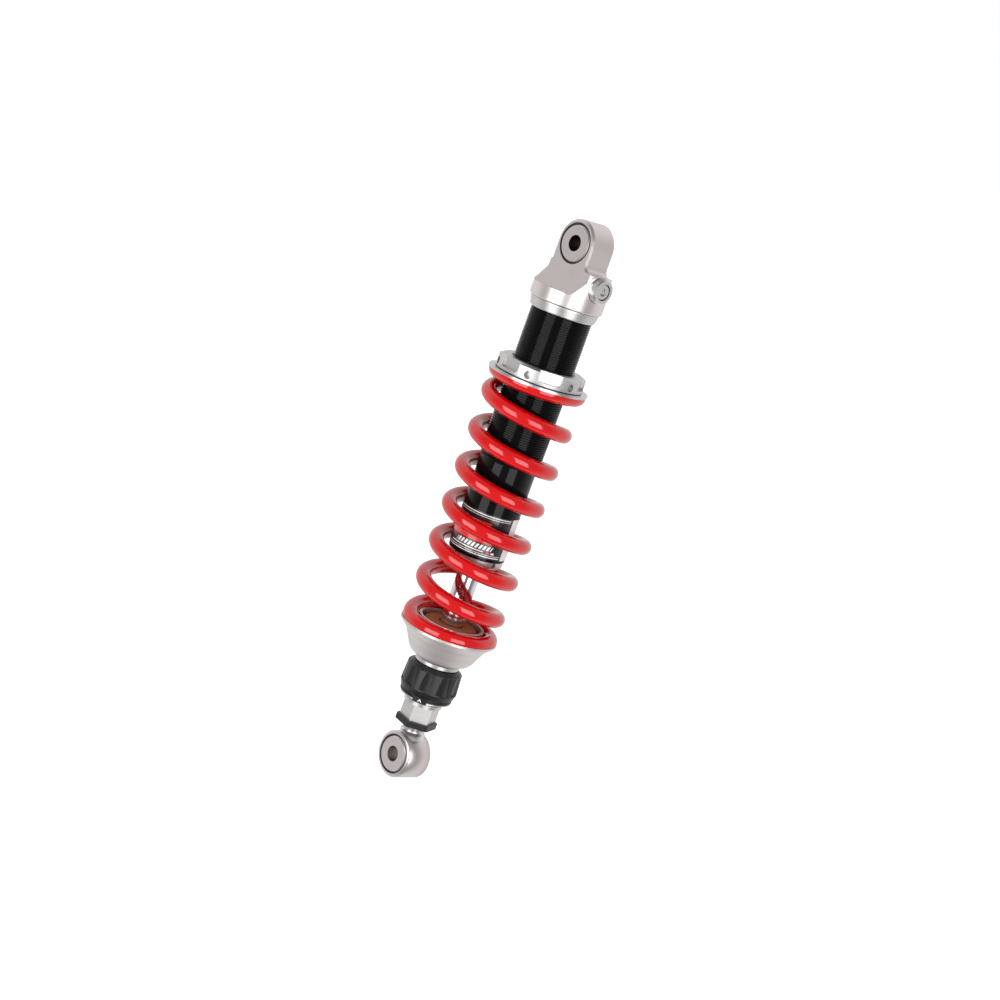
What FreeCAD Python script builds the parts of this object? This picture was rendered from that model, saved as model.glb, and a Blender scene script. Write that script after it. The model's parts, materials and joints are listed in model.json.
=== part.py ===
"""Rear shock absorber of a motorcycle: eye mounts, threaded damper body, coil spring, adjusters.

Frame: origin in the middle of the upper eye's bolt bore, +Z up along the damper's axis,
+Y along the eye bolts, +X towards the gas valve. The lower eye hangs at z = -EYE_TO_EYE.
All sizes in millimetres.
"""
import FreeCAD
import Part
import math
import os

V = FreeCAD.Vector

# ---- overall sizes -------------------------------------------------------------------------------
EYE_TO_EYE = 350.0
BORE = 16.0
ROD_RADIUS = 7.5
STROKE = 52.0
SPRING_WIRE = 10.0

# ---- fits and cutting ----------------------------------------------------------------------------
RUN = 0.05            # radial running clearance of a shaft, piston or thread
SEAT = 0.02           # radial clearance inside one rigid group
FREE = 0.3            # clearance between parts that only pass each other
FACE = 0.05           # axial clearance between faces that turn on each other
EDGE = 0.5            # small bevel on turned edges
PAST = 1.0            # how far a cut reaches beyond the face it opens

# ---- eyes and their spherical bearings -----------------------------------------------------------
BORE_RADIUS = 13.0
EYE_WALL = 2.5
EYE_WIDTH = 20.0
EYE_CHAMFER = 1.3
BOLT_DIA = 10.0
BOLT_CLEAR = 0.05
RACE_WALL = 2.0
BALL_WIDTH = 12.4
SPIGOT_WALL = 2.0
COLLAR_GAP = 1.0
COLLAR_PROUD = 0.3
COLLAR_FLANGE = 2.8
COLLAR_BOSS_STEP = 1.5
COLLAR_CHAMFER = 0.9
SEAL_WIDTH = 1.8
SNAP_RING_WIDTH = 0.9
SNAP_RING_DEPTH = 1.8

# ---- head (lug and cap) --------------------------------------------------------------------------
CAP_WALL = 3.75
CAP_TOP_DROP = 13.6
LEDGE_DROP = 29.3
CAP_BOTTOM_DROP = 37.8
SHOULDER_DROP = 19.3
SHOULDER_OUT = 6.2
SIDE_SHOULDER_DROP = 17.0
SIDE_SHOULDER_OUT = 1.8
SIDE_FOOT_OUT = 3.5
SIDE_FOOT_HEIGHT = 2.0
LUG_FILLET = 4.5
HEAD_THREAD = 7.0

# ---- gas valve -----------------------------------------------------------------------------------
VALVE_DROP = 21.6
VALVE_SPOT_DEPTH = 1.55
VALVE_FLANGE_RADIUS = 8.0
VALVE_FLANGE = 5.7
VALVE_SHANK_RADIUS = 5.0
VALVE_SHANK = 13.0
VALVE_SCREW_RADIUS = 4.85
VALVE_SCREW_HEAD = 3.0
VALVE_SCREW_SHANK_RADIUS = 2.5
VALVE_SCREW_SHANK = 10.0
VALVE_SOCKET_FLATS = 5.0
VALVE_SOCKET_DEPTH = 2.0
VALVE_RING_SECTION = 1.2
GAS_PORT_RADIUS = 1.2
VALVE_BORE_GAP = 3.6

# ---- damper body ---------------------------------------------------------------------------------
BODY_WALL = 2.8
THREAD_HEIGHT = 1.2
THREAD_LENGTH = 111.3
THREAD_RUNOUT = 2.1
BODY_LENGTH = 175.6
LOCK_RING_HEIGHT = 6.5
LOCK_RING_TOP_WALL = 2.35
LOCK_RING_FOOT_WALL = 1.3
HEAD_RING_SECTION = 1.4
LABEL_SKIN = 0.15
LABEL_HEIGHT = 28.2
LABEL_FOOT = 2.1
LABEL_DEGREES = 300.0
LABEL_MIDDLE = -53.0

# ---- preload nut, washer and spring --------------------------------------------------------------
SEAT_DROP = 89.2
PRELOAD_DOWN = 8.0
WASHER_THICKNESS = 1.5
WASHER_RIM = 0.5
NUT_WALL = 8.6
NUT_HEIGHT = 9.5
NUT_BEVEL = 1.2
NUT_BEVEL_RUN = 2.4
NUT_INNER_BEVEL = 0.8
NUT_HOLES = 6
NUT_HOLE_RADIUS = 2.5
NUT_HOLE_RISE = 3.9
NUT_HOLE_DEPTH = 5.0
POCKET_RISE = 2.2
POCKET_DEPTH = 3.0
POCKET_DEGREES = 31.0
POCKET_CORNER = 2.0
SPRING_CLEAR = 2.2
SPRING_END_TURNS = 0.75
SPRING_TURNS = 8.09
SPRING_END_SLOPE = 2.0
SPRING_START_DEGREES = 130.0
SPRING_POINTS_PER_TURN = 16

# ---- piston rod and valving ----------------------------------------------------------------------
NEEDLE_BORE = 2.5
STEM_RADIUS = 4.0
ORIFICE_RADIUS = 1.5
TOPOUT_MARGIN = 1.5
STOP_WASHER = 2.6
STOP_WASHER_GAP = 3.5
SHIM_COUNT = 4
SHIM_THICKNESS = 0.5
SHIM_GAP = 4.0
SHIM_STEP = 1.2
PISTON_HEIGHT = 14.0
PISTON_BAND = 7.0
PISTON_BAND_DEPTH = 1.4
PISTON_PORTS = 6
PORT_RADIUS = 1.6
CLAMP_WASHER = 1.6
CLAMP_WASHER_WALL = 3.5
PISTON_NUT_WALL = 2.5
PISTON_NUT_HEIGHT = 6.5
STEM_PROUD = 1.0

# ---- free piston between the oil and the gas -----------------------------------------------------
FREE_PISTON_GAP = 7.7
FREE_PISTON_HEIGHT = 15.0
FREE_PISTON_WALL = 3.0
FREE_PISTON_RING = 2.4
FREE_PISTON_BAND = 4.0
RING_DEPTH = 1.6

# ---- seal head at the bottom of the body ---------------------------------------------------------
SEAL_FLANGE = 4.7
SEAL_FLANGE_STEP = 0.5
SEAL_BODY = 21.5
SEAL_POCKET_WALL = 4.0
SEAL_POCKET = 11.0
WIPER_HEIGHT = 4.5
ROD_SEAL_HEIGHT = 5.8
BUSHING_WALL = 2.0
SPANNER_HOLES = 4
SPANNER_HOLE_RADIUS = 1.55
SPANNER_HOLE_DEPTH = 3.0
SPANNER_HOLE_RISE = 3.1
BODY_RING_WIDTH = 2.4
BODY_RING_RISE = 11.0
KEEPER_SECTION = 1.0
KEEPER_GROOVE = 0.8
BUMPER_HEIGHT = 6.0
BUMPER_GAP = 1.5

# ---- stack above the lower eye -------------------------------------------------------------------
FORK_RISE = 26.4
HEX_LENGTH = 11.0
HEX_WALL = 3.5
HEX_TURN = -7.0
FORK_RING_LENGTH = 4.6
FORK_RING_STEP = 0.7
FORK_GROOVE_RISE = 2.4
FORK_GROOVE = 0.5
NECK_WALL = 3.0
ROD_FOOT_GAP = 5.5
INDICATOR_WASHER = 0.8
INDICATOR_WASHER_WALL = 6.5
INDICATOR_HEIGHT = 2.7
INDICATOR_WALL = 7.0
INDICATOR_TAB_OUT = 0.9
INDICATOR_TAB_RISE = 1.2
INDICATOR_TAB_DEGREES = 30.0
INDICATOR_TAB_MIDDLE = -53.0
KNOB_GAP = 0.3
SUPPORT_RING = 2.6
SUPPORT_RING_WALL = 4.4

# ---- rebound knob and its needle -----------------------------------------------------------------
KNOB_HEIGHT = 19.3
KNOB_WALL = 8.5
KNOB_SHOULDER_STEP = 0.7
KNOB_SHOULDER_DROP = 2.5
KNOB_TOP_STEP = 4.0
KNOB_FOOT_STEP = 1.2
KNOB_WIDE_RISE = 3.4
KNOB_FLUTES = 10
KNOB_FLUTE_RADIUS = 13.8
KNOB_FLUTE_DEPTH = 1.0
KNOB_FLUTE_RISE = 4.2
KNOB_FLUTE_START = -51.7
CAM_GROOVE_DEPTH = 1.7
CAM_GROOVE_HEIGHT = 8.0
PIN_RISE = 57.5
PIN_RADIUS = 1.2
PIN_REACH = 1.1
PIN_TRAVEL = 1.0
NEEDLE_CLEAR = 0.3
NEEDLE_TIP_RADIUS = 1.1
NEEDLE_TIP = 6.0
NEEDLE_FOOT = 3.6
DETENT_BALL_RADIUS = 1.1
DETENT_RISE = 50.5
DETENT_POCKET = 2.4

# ---- spring cup and bump stop --------------------------------------------------------------------
CUP_HEIGHT = 22.4
CUP_RIM_OUT = 0.3
CUP_RIM = 1.5
CUP_NECK_STEP = 5.3
CUP_NECK_DROP = 6.5
CUP_WAIST_STEP = 10.6
CUP_WAIST_RISE = 5.2
CUP_FOOT_STEP = 12.65
CUP_FOOT_RISE = 2.8
CUP_FLOOR = 4.2
CUP_LIP = 4.8
CUP_LIP_CLEAR = 0.4
CUP_LIP_WALL = 1.6
CUP_FLOOR_TAPER = 1.8
BUMP_WASHER = 1.5
BUMP_HEIGHT = 20.2
BUMP_GAP = 2.5
BUMP_TAPER = 1.5
BUMP_WAIST = 1.6
BUMP_TOP_BEVEL = 0.8

# ---- lower eye and lock nut ----------------------------------------------------------------------
STUD_RADIUS = 7.0
STUD_TOP_RISE = 40.5
STUD_COLLAR_WALL = 1.3
STUD_COLLAR_SHOW = 1.5
LOCK_NUT_STEP = 3.0
LOCK_NUT_HEIGHT = 4.2
LOCK_NUT_FACE_STEP = 0.45
LOCK_NUT_CHAMFER = 0.9

# ---- radii, worked out from the sizes above ------------------------------------------------------
eye_radius = BORE_RADIUS + EYE_WALL
ball_radius = BORE_RADIUS - RACE_WALL
collar_radius = BORE_RADIUS - COLLAR_GAP
spigot_radius = BOLT_DIA / 2 + SPIGOT_WALL
body_radius = BORE + BODY_WALL
thread_radius = body_radius + THREAD_HEIGHT
cap_radius = thread_radius + CAP_WALL
nut_radius = thread_radius + NUT_WALL
spring_inner = thread_radius + SPRING_CLEAR
spring_outer = spring_inner + SPRING_WIRE
coil_radius = spring_inner + SPRING_WIRE / 2
cup_radius = spring_outer + CUP_RIM_OUT
cup_lip_radius = spring_inner - CUP_LIP_CLEAR
cup_bore_radius = cup_lip_radius - CUP_LIP_WALL
bump_top_radius = cup_bore_radius - BUMP_GAP
bump_foot_radius = bump_top_radius - BUMP_TAPER
seal_flange_radius = body_radius - SEAL_FLANGE_STEP
seal_pocket_radius = ROD_RADIUS + SEAL_POCKET_WALL
bushing_radius = ROD_RADIUS + BUSHING_WALL
neck_radius = ROD_RADIUS + NECK_WALL
knob_radius = neck_radius + KNOB_WALL
pin_reach = neck_radius + PIN_REACH
hex_flats = 2 * (STUD_RADIUS + HEX_WALL)
fork_ring_radius = hex_flats / math.sqrt(3) + FORK_RING_STEP
lock_nut_flats = hex_flats + LOCK_NUT_STEP

# ---- levels, worked out from the sizes above -----------------------------------------------------
collar_face = EYE_WIDTH / 2 + COLLAR_PROUD
ball_half = BALL_WIDTH / 2
valve_seat_x = cap_radius - VALVE_SPOT_DEPTH
valve_end_x = valve_seat_x + VALVE_FLANGE
valve_shank_x = valve_seat_x - VALVE_SHANK
cap_top = -CAP_TOP_DROP
cap_bottom = -CAP_BOTTOM_DROP
body_top = cap_bottom + HEAD_THREAD
body_bottom = body_top - BODY_LENGTH
thread_end = body_top - THREAD_LENGTH
seal_foot = body_bottom - SEAL_FLANGE
seal_shelf = seal_foot + SEAL_POCKET
seal_top = body_bottom + SEAL_BODY
bumper_top = seal_top + BUMPER_HEIGHT
spring_top = -SEAT_DROP
nut_bottom = spring_top + WASHER_THICKNESS + FACE
nut_top = nut_bottom + NUT_HEIGHT
lower_eye_z = -EYE_TO_EYE
fork_bottom = lower_eye_z + FORK_RISE
hex_top = fork_bottom + HEX_LENGTH
fork_ring_top = hex_top + FORK_RING_LENGTH
indicator_bottom = fork_ring_top + INDICATOR_WASHER
indicator_top = indicator_bottom + INDICATOR_HEIGHT
knob_bottom = indicator_top + KNOB_GAP
knob_top = knob_bottom + KNOB_HEIGHT
neck_top = knob_top + KNOB_GAP
cup_bottom = neck_top + SUPPORT_RING
cup_floor = cup_bottom + CUP_FLOOR
spring_bottom = cup_bottom + CUP_HEIGHT
bump_bottom = cup_floor + BUMP_WASHER
stud_top = lower_eye_z + STUD_TOP_RISE
rod_foot = stud_top + ROD_FOOT_GAP
pin_z = lower_eye_z + PIN_RISE
detent_z = lower_eye_z + DETENT_RISE
stop_washer_z = bumper_top + PRELOAD_DOWN + TOPOUT_MARGIN
rebound_shims_z = stop_washer_z + STOP_WASHER
shim_stack = SHIM_COUNT * SHIM_THICKNESS
piston_z = rebound_shims_z + shim_stack
compression_shims_z = piston_z + PISTON_HEIGHT
clamp_washer_z = compression_shims_z + shim_stack
piston_nut_z = clamp_washer_z + CLAMP_WASHER
stem_top = piston_nut_z + PISTON_NUT_HEIGHT + STEM_PROUD
free_piston_z = stem_top + STROKE + FREE_PISTON_GAP


# ---- small helpers -------------------------------------------------------------------------------
def disc(radius, low, high):
    """A solid cylinder on the damper's axis."""
    return Part.makeCylinder(radius, high - low, V(0, 0, low))


def ring(outer, inner, low, high):
    """A plain ring on the damper's axis."""
    return disc(outer, low, high).cut(disc(inner, low - PAST, high + PAST))


def turned(points, degrees=360.0):
    """Revolves a closed outline of (radius, z) points about the damper's axis."""
    outline = Part.makePolygon([V(r, 0, z) for r, z in points + points[:1]])
    return Part.Face(outline).revolve(V(0, 0, 0), V(0, 0, 1), degrees)


def prism(points, place, push):
    """Extrudes a closed outline; place turns each 2-D point into a vector."""
    outline = Part.makePolygon([place(a, b) for a, b in points + points[:1]])
    return Part.Face(outline).extrude(push)


def hexagon(flats, low, high, turn=0.0):
    """A hexagonal bar on the damper's axis with a corner at the angle turn."""
    corner = flats / math.sqrt(3)
    angles = [math.radians(turn + 60 * k) for k in range(6)]
    points = [(corner * math.cos(a), corner * math.sin(a)) for a in angles]
    return prism(points, lambda x, y: V(x, y, low), V(0, 0, high - low))


def across(radius, low, high, z):
    """A cylinder along +Y between two y values at the height z."""
    return Part.makeCylinder(radius, high - low, V(0, low, z), V(0, 1, 0))


def across_ring(outer, inner, low, high, z):
    return across(outer, low, high, z).cut(across(inner, low - PAST, high + PAST, z))


def radial(radius, near, far, z, degrees):
    """A cylinder that points straight out from the axis at an angle."""
    a = math.radians(degrees)
    out = V(math.cos(a), math.sin(a), 0)
    return Part.makeCylinder(radius, far - near, out * near + V(0, 0, z), out)


def around(shape, count, start=0.0):
    """Copies of a shape, evenly spaced about the damper's axis."""
    copies = []
    for k in range(count):
        copy = shape.copy()
        copy.rotate(V(0, 0, 0), V(0, 0, 1), start + 360.0 * k / count)
        copies.append(copy)
    return copies


def cut_all(shape, tools):
    for tool in tools:
        shape = shape.cut(tool)
    return shape


def chamfered(shape, size, wanted):
    """Chamfers the edges that wanted picks."""
    return shape.makeChamfer(size, [e for e in shape.Edges if wanted(e)])


def mirrored(shape):
    return shape.mirror(V(0, 0, 0), V(0, 1, 0))


# ---- spherical bearing of one eye ----------------------------------------------------------------
def outer_race(z):
    body = across(BORE_RADIUS - SEAT, -ball_half, ball_half, z)
    return body.cut(Part.makeSphere(ball_radius + RUN, V(0, 0, z)))


def ball(z):
    slab = across(BORE_RADIUS, -ball_half, ball_half, z)
    body = Part.makeSphere(ball_radius, V(0, 0, z)).common(slab)
    return body.cut(across(spigot_radius + SEAT, -BALL_WIDTH, BALL_WIDTH, z))


def back_collar(z):
    """The collar on the +Y side: spigot in the ball, boss on its face, flange in the eye's mouth."""
    flange_low = collar_face - COLLAR_FLANGE
    flange = across(collar_radius, flange_low, collar_face, z)
    flange = chamfered(flange, COLLAR_CHAMFER, lambda e: e.BoundBox.YMin > collar_face - SEAT)
    boss = across(spigot_radius + COLLAR_BOSS_STEP, ball_half, flange_low, z)
    spigot = across(spigot_radius, SEAT, ball_half, z)
    body = flange.fuse([boss, spigot])
    hole = across(BOLT_DIA / 2 + BOLT_CLEAR, -PAST, collar_face + PAST, z)
    return body.cut(hole).removeSplitter()


def front_collar(z):
    return mirrored(back_collar(z))


def dust_seal(z):
    outer = EYE_WIDTH / 2
    return across_ring(BORE_RADIUS - SEAT, collar_radius + FREE, outer - SEAL_WIDTH, outer, z)


def snap_rings(z):
    inner = BORE_RADIUS - SNAP_RING_DEPTH
    low = ball_half + SEAT
    back = across_ring(BORE_RADIUS - SEAT, inner, low, low + SNAP_RING_WIDTH, z)
    return Part.makeCompound([back, mirrored(back)])


def eye_bore(z):
    return across(BORE_RADIUS, -EYE_WIDTH, EYE_WIDTH, z)


# ---- head ----------------------------------------------------------------------------------------
def lug():
    """The plate with the rounded top; its right foot runs into the cap in a fillet."""
    half = EYE_WIDTH / 2
    r = eye_radius
    foot = r + LUG_FILLET
    knee = LUG_FILLET * (1 - math.sqrt(0.5))
    low = -LEDGE_DROP

    def at(x, z):
        return V(x, -half, z)

    edges = [
        Part.makeLine(at(-r, low), at(-r, 0)),
        Part.Arc(at(-r, 0), at(0, r), at(r, 0)).toShape(),
        Part.makeLine(at(r, 0), at(r, cap_top + LUG_FILLET)),
        Part.Arc(at(r, cap_top + LUG_FILLET), at(r + knee, cap_top + knee), at(foot, cap_top)).toShape(),
        Part.makeLine(at(foot, cap_top), at(foot, low)),
        Part.makeLine(at(foot, low), at(-r, low)),
    ]
    plate = Part.Face(Part.Wire(edges)).extrude(V(0, EYE_WIDTH, 0))

    def on_rim(edge):
        box = edge.BoundBox
        return box.YLength < SEAT and box.ZMax > cap_top + SEAT

    return chamfered(plate, EYE_CHAMFER, on_rim)


def cap():
    """The round cap, milled down to a ledge in front, behind and on the left of the lug."""
    r = cap_radius
    far = r + PAST
    above = cap_top + PAST
    half = EYE_WIDTH / 2
    body = disc(r, cap_bottom, cap_top)
    body = chamfered(body, EDGE, lambda e: len(e.Vertexes) == 1 and e.BoundBox.ZLength < SEAT)
    side = [(far, cap_bottom - PAST), (far, -LEDGE_DROP), (half + SHOULDER_OUT, -LEDGE_DROP),
            (half, -SHOULDER_DROP), (half, above)]
    front_view = side + [(-y, z) for y, z in reversed(side)]
    body = body.common(prism(front_view, lambda y, z: V(-far, y, z), V(2 * far, 0, 0)))
    left = -eye_radius
    left_view = [(left, above), (left, -SIDE_SHOULDER_DROP),
                 (left - SIDE_SHOULDER_OUT, SIDE_FOOT_HEIGHT - LEDGE_DROP),
                 (left - SIDE_FOOT_OUT, -LEDGE_DROP), (-far, -LEDGE_DROP), (-far, above)]
    return body.cut(prism(left_view, lambda x, z: V(x, -far, z), V(0, 2 * far, 0)))


def gas_port():
    """The drilling from the valve's bore down to the gas space."""
    x = valve_shank_x - VALVE_BORE_GAP / 2
    foot = body_top - PAST
    return Part.makeCylinder(GAS_PORT_RADIUS, -VALVE_DROP - foot, V(x, 0, foot))


def head_cap():
    body = cap().fuse(lug()).removeSplitter()
    bore_end = valve_shank_x - VALVE_BORE_GAP
    tools = [
        eye_bore(0),
        disc(thread_radius + SEAT, cap_bottom - PAST, body_top),
        radial(VALVE_FLANGE_RADIUS + FREE, valve_seat_x, cap_radius + PAST, -VALVE_DROP, 0),
        radial(VALVE_SHANK_RADIUS + SEAT, bore_end, cap_radius, -VALVE_DROP, 0),
        gas_port(),
    ]
    return cut_all(body, tools)


def head_lock_ring():
    """The ring that locks the cap on the thread: straight at its top, tapering to its foot."""
    low = cap_bottom - LOCK_RING_HEIGHT
    inner = thread_radius + SEAT
    top = thread_radius + LOCK_RING_TOP_WALL
    foot = thread_radius + LOCK_RING_FOOT_WALL
    return turned([(inner, low), (foot - EDGE, low), (foot, low + EDGE), (top, cap_bottom - 2 * EDGE),
                   (top, cap_bottom - EDGE), (top - EDGE, cap_bottom), (inner, cap_bottom)])


def head_ring():
    low = body_top - 2 * HEAD_RING_SECTION
    return ring(thread_radius, thread_radius - HEAD_RING_SECTION, low, low + HEAD_RING_SECTION)


# ---- gas valve -----------------------------------------------------------------------------------
def gas_valve_body():
    head_seat = valve_end_x - VALVE_SCREW_HEAD - EDGE
    z = -VALVE_DROP
    flange = radial(VALVE_FLANGE_RADIUS, valve_seat_x, valve_end_x, z, 0)
    flange = chamfered(flange, 2 * EDGE, lambda e: e.BoundBox.XMin > valve_end_x - SEAT)
    shank = radial(VALVE_SHANK_RADIUS, valve_shank_x, valve_seat_x, z, 0)
    tools = [
        gas_valve_ring(),
        radial(VALVE_SCREW_RADIUS + FREE, head_seat, valve_end_x + PAST, z, 0),
        radial(VALVE_SCREW_SHANK_RADIUS + SEAT, valve_shank_x - PAST, valve_end_x, z, 0),
    ]
    return cut_all(flange.fuse(shank), tools)


def gas_valve_ring():
    """The rubber ring in the corner between the valve's flange and its shank."""
    z = -VALVE_DROP
    inner = VALVE_SHANK_RADIUS + SEAT
    end = valve_seat_x + VALVE_RING_SECTION
    outer = radial(inner + VALVE_RING_SECTION, valve_seat_x, end, z, 0)
    return outer.cut(radial(inner, valve_seat_x - PAST, end + PAST, z, 0))


def gas_valve_screw():
    end = valve_end_x - EDGE
    head_seat = end - VALVE_SCREW_HEAD
    z = -VALVE_DROP
    head = radial(VALVE_SCREW_RADIUS, head_seat, end, z, 0)
    head = chamfered(head, EDGE, lambda e: e.BoundBox.XMin > end - SEAT)
    shank = radial(VALVE_SCREW_SHANK_RADIUS, head_seat - VALVE_SCREW_SHANK, head_seat, z, 0)
    socket = hexagon(VALVE_SOCKET_FLATS, 0, VALVE_SOCKET_DEPTH + PAST)
    socket.rotate(V(0, 0, 0), V(0, 1, 0), 90)
    socket.translate(V(end - VALVE_SOCKET_DEPTH, 0, z))
    return head.fuse(shank).cut(socket)


# ---- damper body ---------------------------------------------------------------------------------
def barrel_tube():
    points = [(BORE, body_bottom), (body_radius, body_bottom), (body_radius, thread_end - THREAD_RUNOUT),
              (thread_radius, thread_end), (thread_radius, body_top), (BORE, body_top)]
    keeper = disc(BORE + KEEPER_GROOVE, seal_top, seal_top + KEEPER_SECTION)
    return cut_all(turned(points), [head_ring(), keeper])


def barrel_label():
    """The printed film around the smooth part of the body."""
    low = body_bottom + LABEL_FOOT
    inner = body_radius + SEAT / 2
    outer = body_radius + LABEL_SKIN
    high = low + LABEL_HEIGHT
    skin = turned([(inner, low), (outer, low), (outer, high), (inner, high)], LABEL_DEGREES)
    skin.rotate(V(0, 0, 0), V(0, 0, 1), LABEL_MIDDLE - LABEL_DEGREES / 2)
    return skin


# ---- seal head -----------------------------------------------------------------------------------
def seal_head():
    outer = BORE - SEAT
    flange = seal_flange_radius
    points = [(seal_pocket_radius, seal_foot), (flange - 2 * EDGE, seal_foot),
              (flange, seal_foot + 2 * EDGE), (flange, body_bottom), (outer, body_bottom), (outer, seal_top),
              (bushing_radius, seal_top), (bushing_radius, seal_shelf), (seal_pocket_radius, seal_shelf)]
    hole_z = seal_foot + SPANNER_HOLE_RISE
    hole = radial(SPANNER_HOLE_RADIUS, flange - SPANNER_HOLE_DEPTH, flange + PAST, hole_z, 0)
    return cut_all(turned(points), around(hole, SPANNER_HOLES) + [seal_head_ring()])


def seal_head_ring():
    low = body_bottom + BODY_RING_RISE
    return ring(BORE - SEAT, BORE - SEAT - RING_DEPTH, low, low + BODY_RING_WIDTH)


def rod_wiper():
    low = seal_foot + FREE
    return ring(seal_pocket_radius - SEAT, ROD_RADIUS + RUN, low, low + WIPER_HEIGHT)


def rod_seal():
    return ring(seal_pocket_radius - SEAT, ROD_RADIUS + RUN, seal_shelf - ROD_SEAL_HEIGHT, seal_shelf)


def rod_bushing():
    return ring(bushing_radius - SEAT, ROD_RADIUS + RUN, seal_shelf, seal_top)


def keeper_ring():
    return ring(BORE + KEEPER_GROOVE - SEAT, BORE - KEEPER_SECTION, seal_top, seal_top + KEEPER_SECTION)


def topout_bumper():
    return ring(BORE - KEEPER_SECTION - BUMPER_GAP, ROD_RADIUS + FREE, seal_top, bumper_top)


# ---- free piston between the oil and the gas -----------------------------------------------------
def free_piston():
    low = free_piston_z
    high = low + FREE_PISTON_HEIGHT
    outer = BORE - RUN
    inner = outer - RING_DEPTH - FREE_PISTON_WALL
    floor = low + FREE_PISTON_WALL + FREE_PISTON_RING
    points = [(0, low), (outer, low), (outer, high), (inner, high), (inner, floor), (0, floor)]
    return cut_all(turned(points), [free_piston_ring(), free_piston_band()])


def free_piston_ring():
    low = free_piston_z + FREE_PISTON_RING
    return ring(BORE - RUN / 2, BORE - RUN - RING_DEPTH, low, low + FREE_PISTON_RING)


def free_piston_band():
    high = free_piston_z + FREE_PISTON_HEIGHT - FREE_PISTON_RING
    return ring(BORE - RUN / 2, BORE - RUN - RING_DEPTH, high - FREE_PISTON_BAND, high)


# ---- spring seat, nut and spring -----------------------------------------------------------------
def spring_washer():
    return ring(spring_outer + WASHER_RIM, thread_radius + FREE, spring_top, spring_top + WASHER_THICKNESS)


def nut_pocket():
    """One spanner pocket of the ring nut: open at the top and outside, with round lower corners."""
    half = math.radians(POCKET_DEGREES / 2) * nut_radius
    low = nut_bottom + POCKET_RISE
    near = nut_radius - POCKET_DEPTH
    box = Part.makeBox(2 * POCKET_DEPTH, 2 * half, NUT_HEIGHT, V(near, -half, low))

    def lower_corner(edge):
        box = edge.BoundBox
        return box.XLength > POCKET_DEPTH and box.ZMax < low + SEAT

    return box.makeFillet(POCKET_CORNER, [e for e in box.Edges if lower_corner(e)])


def preload_nut():
    inner = thread_radius + RUN
    points = [(inner, nut_bottom), (nut_radius - EDGE, nut_bottom), (nut_radius, nut_bottom + EDGE),
              (nut_radius, nut_top - NUT_BEVEL), (nut_radius - NUT_BEVEL_RUN, nut_top),
              (inner + NUT_INNER_BEVEL, nut_top), (inner, nut_top - NUT_INNER_BEVEL)]
    hole_z = nut_bottom + NUT_HOLE_RISE
    hole = radial(NUT_HOLE_RADIUS, nut_radius - NUT_HOLE_DEPTH, nut_radius + PAST, hole_z, 0)
    holes = around(hole, NUT_HOLES)
    pockets = around(nut_pocket(), NUT_HOLES, 180.0 / NUT_HOLES)
    return cut_all(turned(points), holes + pockets)


def coil_drop(turn):
    """How far the wire's centre has dropped below the spring's top after some turns."""
    pitch_turns = SPRING_TURNS - 2 * SPRING_END_TURNS
    total = spring_top - spring_bottom
    pitch = (total - 2 * SPRING_END_TURNS * SPRING_END_SLOPE) / pitch_turns
    if turn < SPRING_END_TURNS:
        return turn * SPRING_END_SLOPE
    if turn > SPRING_TURNS - SPRING_END_TURNS:
        return total - (SPRING_TURNS - turn) * SPRING_END_SLOPE
    return SPRING_END_TURNS * SPRING_END_SLOPE + (turn - SPRING_END_TURNS) * pitch


def spring():
    """Left-hand coil with closed ends, ground flat on both seats."""
    count = int(SPRING_TURNS * SPRING_POINTS_PER_TURN)
    points = []
    for k in range(count + 1):
        turn = SPRING_TURNS * k / count
        a = math.radians(SPRING_START_DEGREES + 360 * turn)
        points.append(V(coil_radius * math.cos(a), coil_radius * math.sin(a), spring_top - coil_drop(turn)))
    curve = Part.BSplineCurve()
    curve.interpolate(points)
    path = Part.Wire([curve.toShape()])
    tangent = curve.tangent(curve.FirstParameter)[0]
    section = Part.Wire([Part.Circle(points[0], tangent, SPRING_WIRE / 2).toShape()])
    coil = path.makePipeShell([section], True, True)
    envelope = disc(2 * spring_outer, spring_bottom, spring_top)
    return Part.Solid(coil).common(envelope)


# ---- piston rod and valving ----------------------------------------------------------------------
def piston_rod():
    points = [(NEEDLE_BORE, rod_foot), (ROD_RADIUS, rod_foot), (ROD_RADIUS, stop_washer_z),
              (STEM_RADIUS, stop_washer_z), (STEM_RADIUS, stem_top), (ORIFICE_RADIUS, stem_top),
              (ORIFICE_RADIUS, stop_washer_z), (NEEDLE_BORE, stop_washer_z)]
    return turned(points).cut(pin_slot())


def pin_slot():
    """The long slot that lets the cross pin rise and fall through the rod and its end."""
    half = PIN_RADIUS + FREE
    rise = PIN_TRAVEL + half
    return Part.makeBox(2 * pin_reach, 2 * half, 2 * rise, V(-pin_reach, -half, pin_z - rise))


def rebound_stop_washer():
    return ring(BORE - STOP_WASHER_GAP, STEM_RADIUS + SEAT, stop_washer_z, rebound_shims_z)


def shims(low, widest_up):
    """A stack of thin steel discs, each smaller than the one nearer to the piston."""
    stack = []
    for k in range(SHIM_COUNT):
        step = SHIM_COUNT - 1 - k if widest_up else k
        z = low + k * SHIM_THICKNESS
        stack.append(ring(BORE - SHIM_GAP - SHIM_STEP * step, STEM_RADIUS + SEAT, z, z + SHIM_THICKNESS))
    return Part.makeCompound(stack)


def piston():
    body = ring(BORE - 2 * RUN, STEM_RADIUS + SEAT, piston_z, compression_shims_z)
    port_circle = (BORE + STEM_RADIUS) / 2
    port = Part.makeCylinder(PORT_RADIUS, PISTON_HEIGHT + 2 * PAST, V(port_circle, 0, piston_z - PAST))
    return cut_all(body, around(port, PISTON_PORTS) + [piston_band()])


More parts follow.
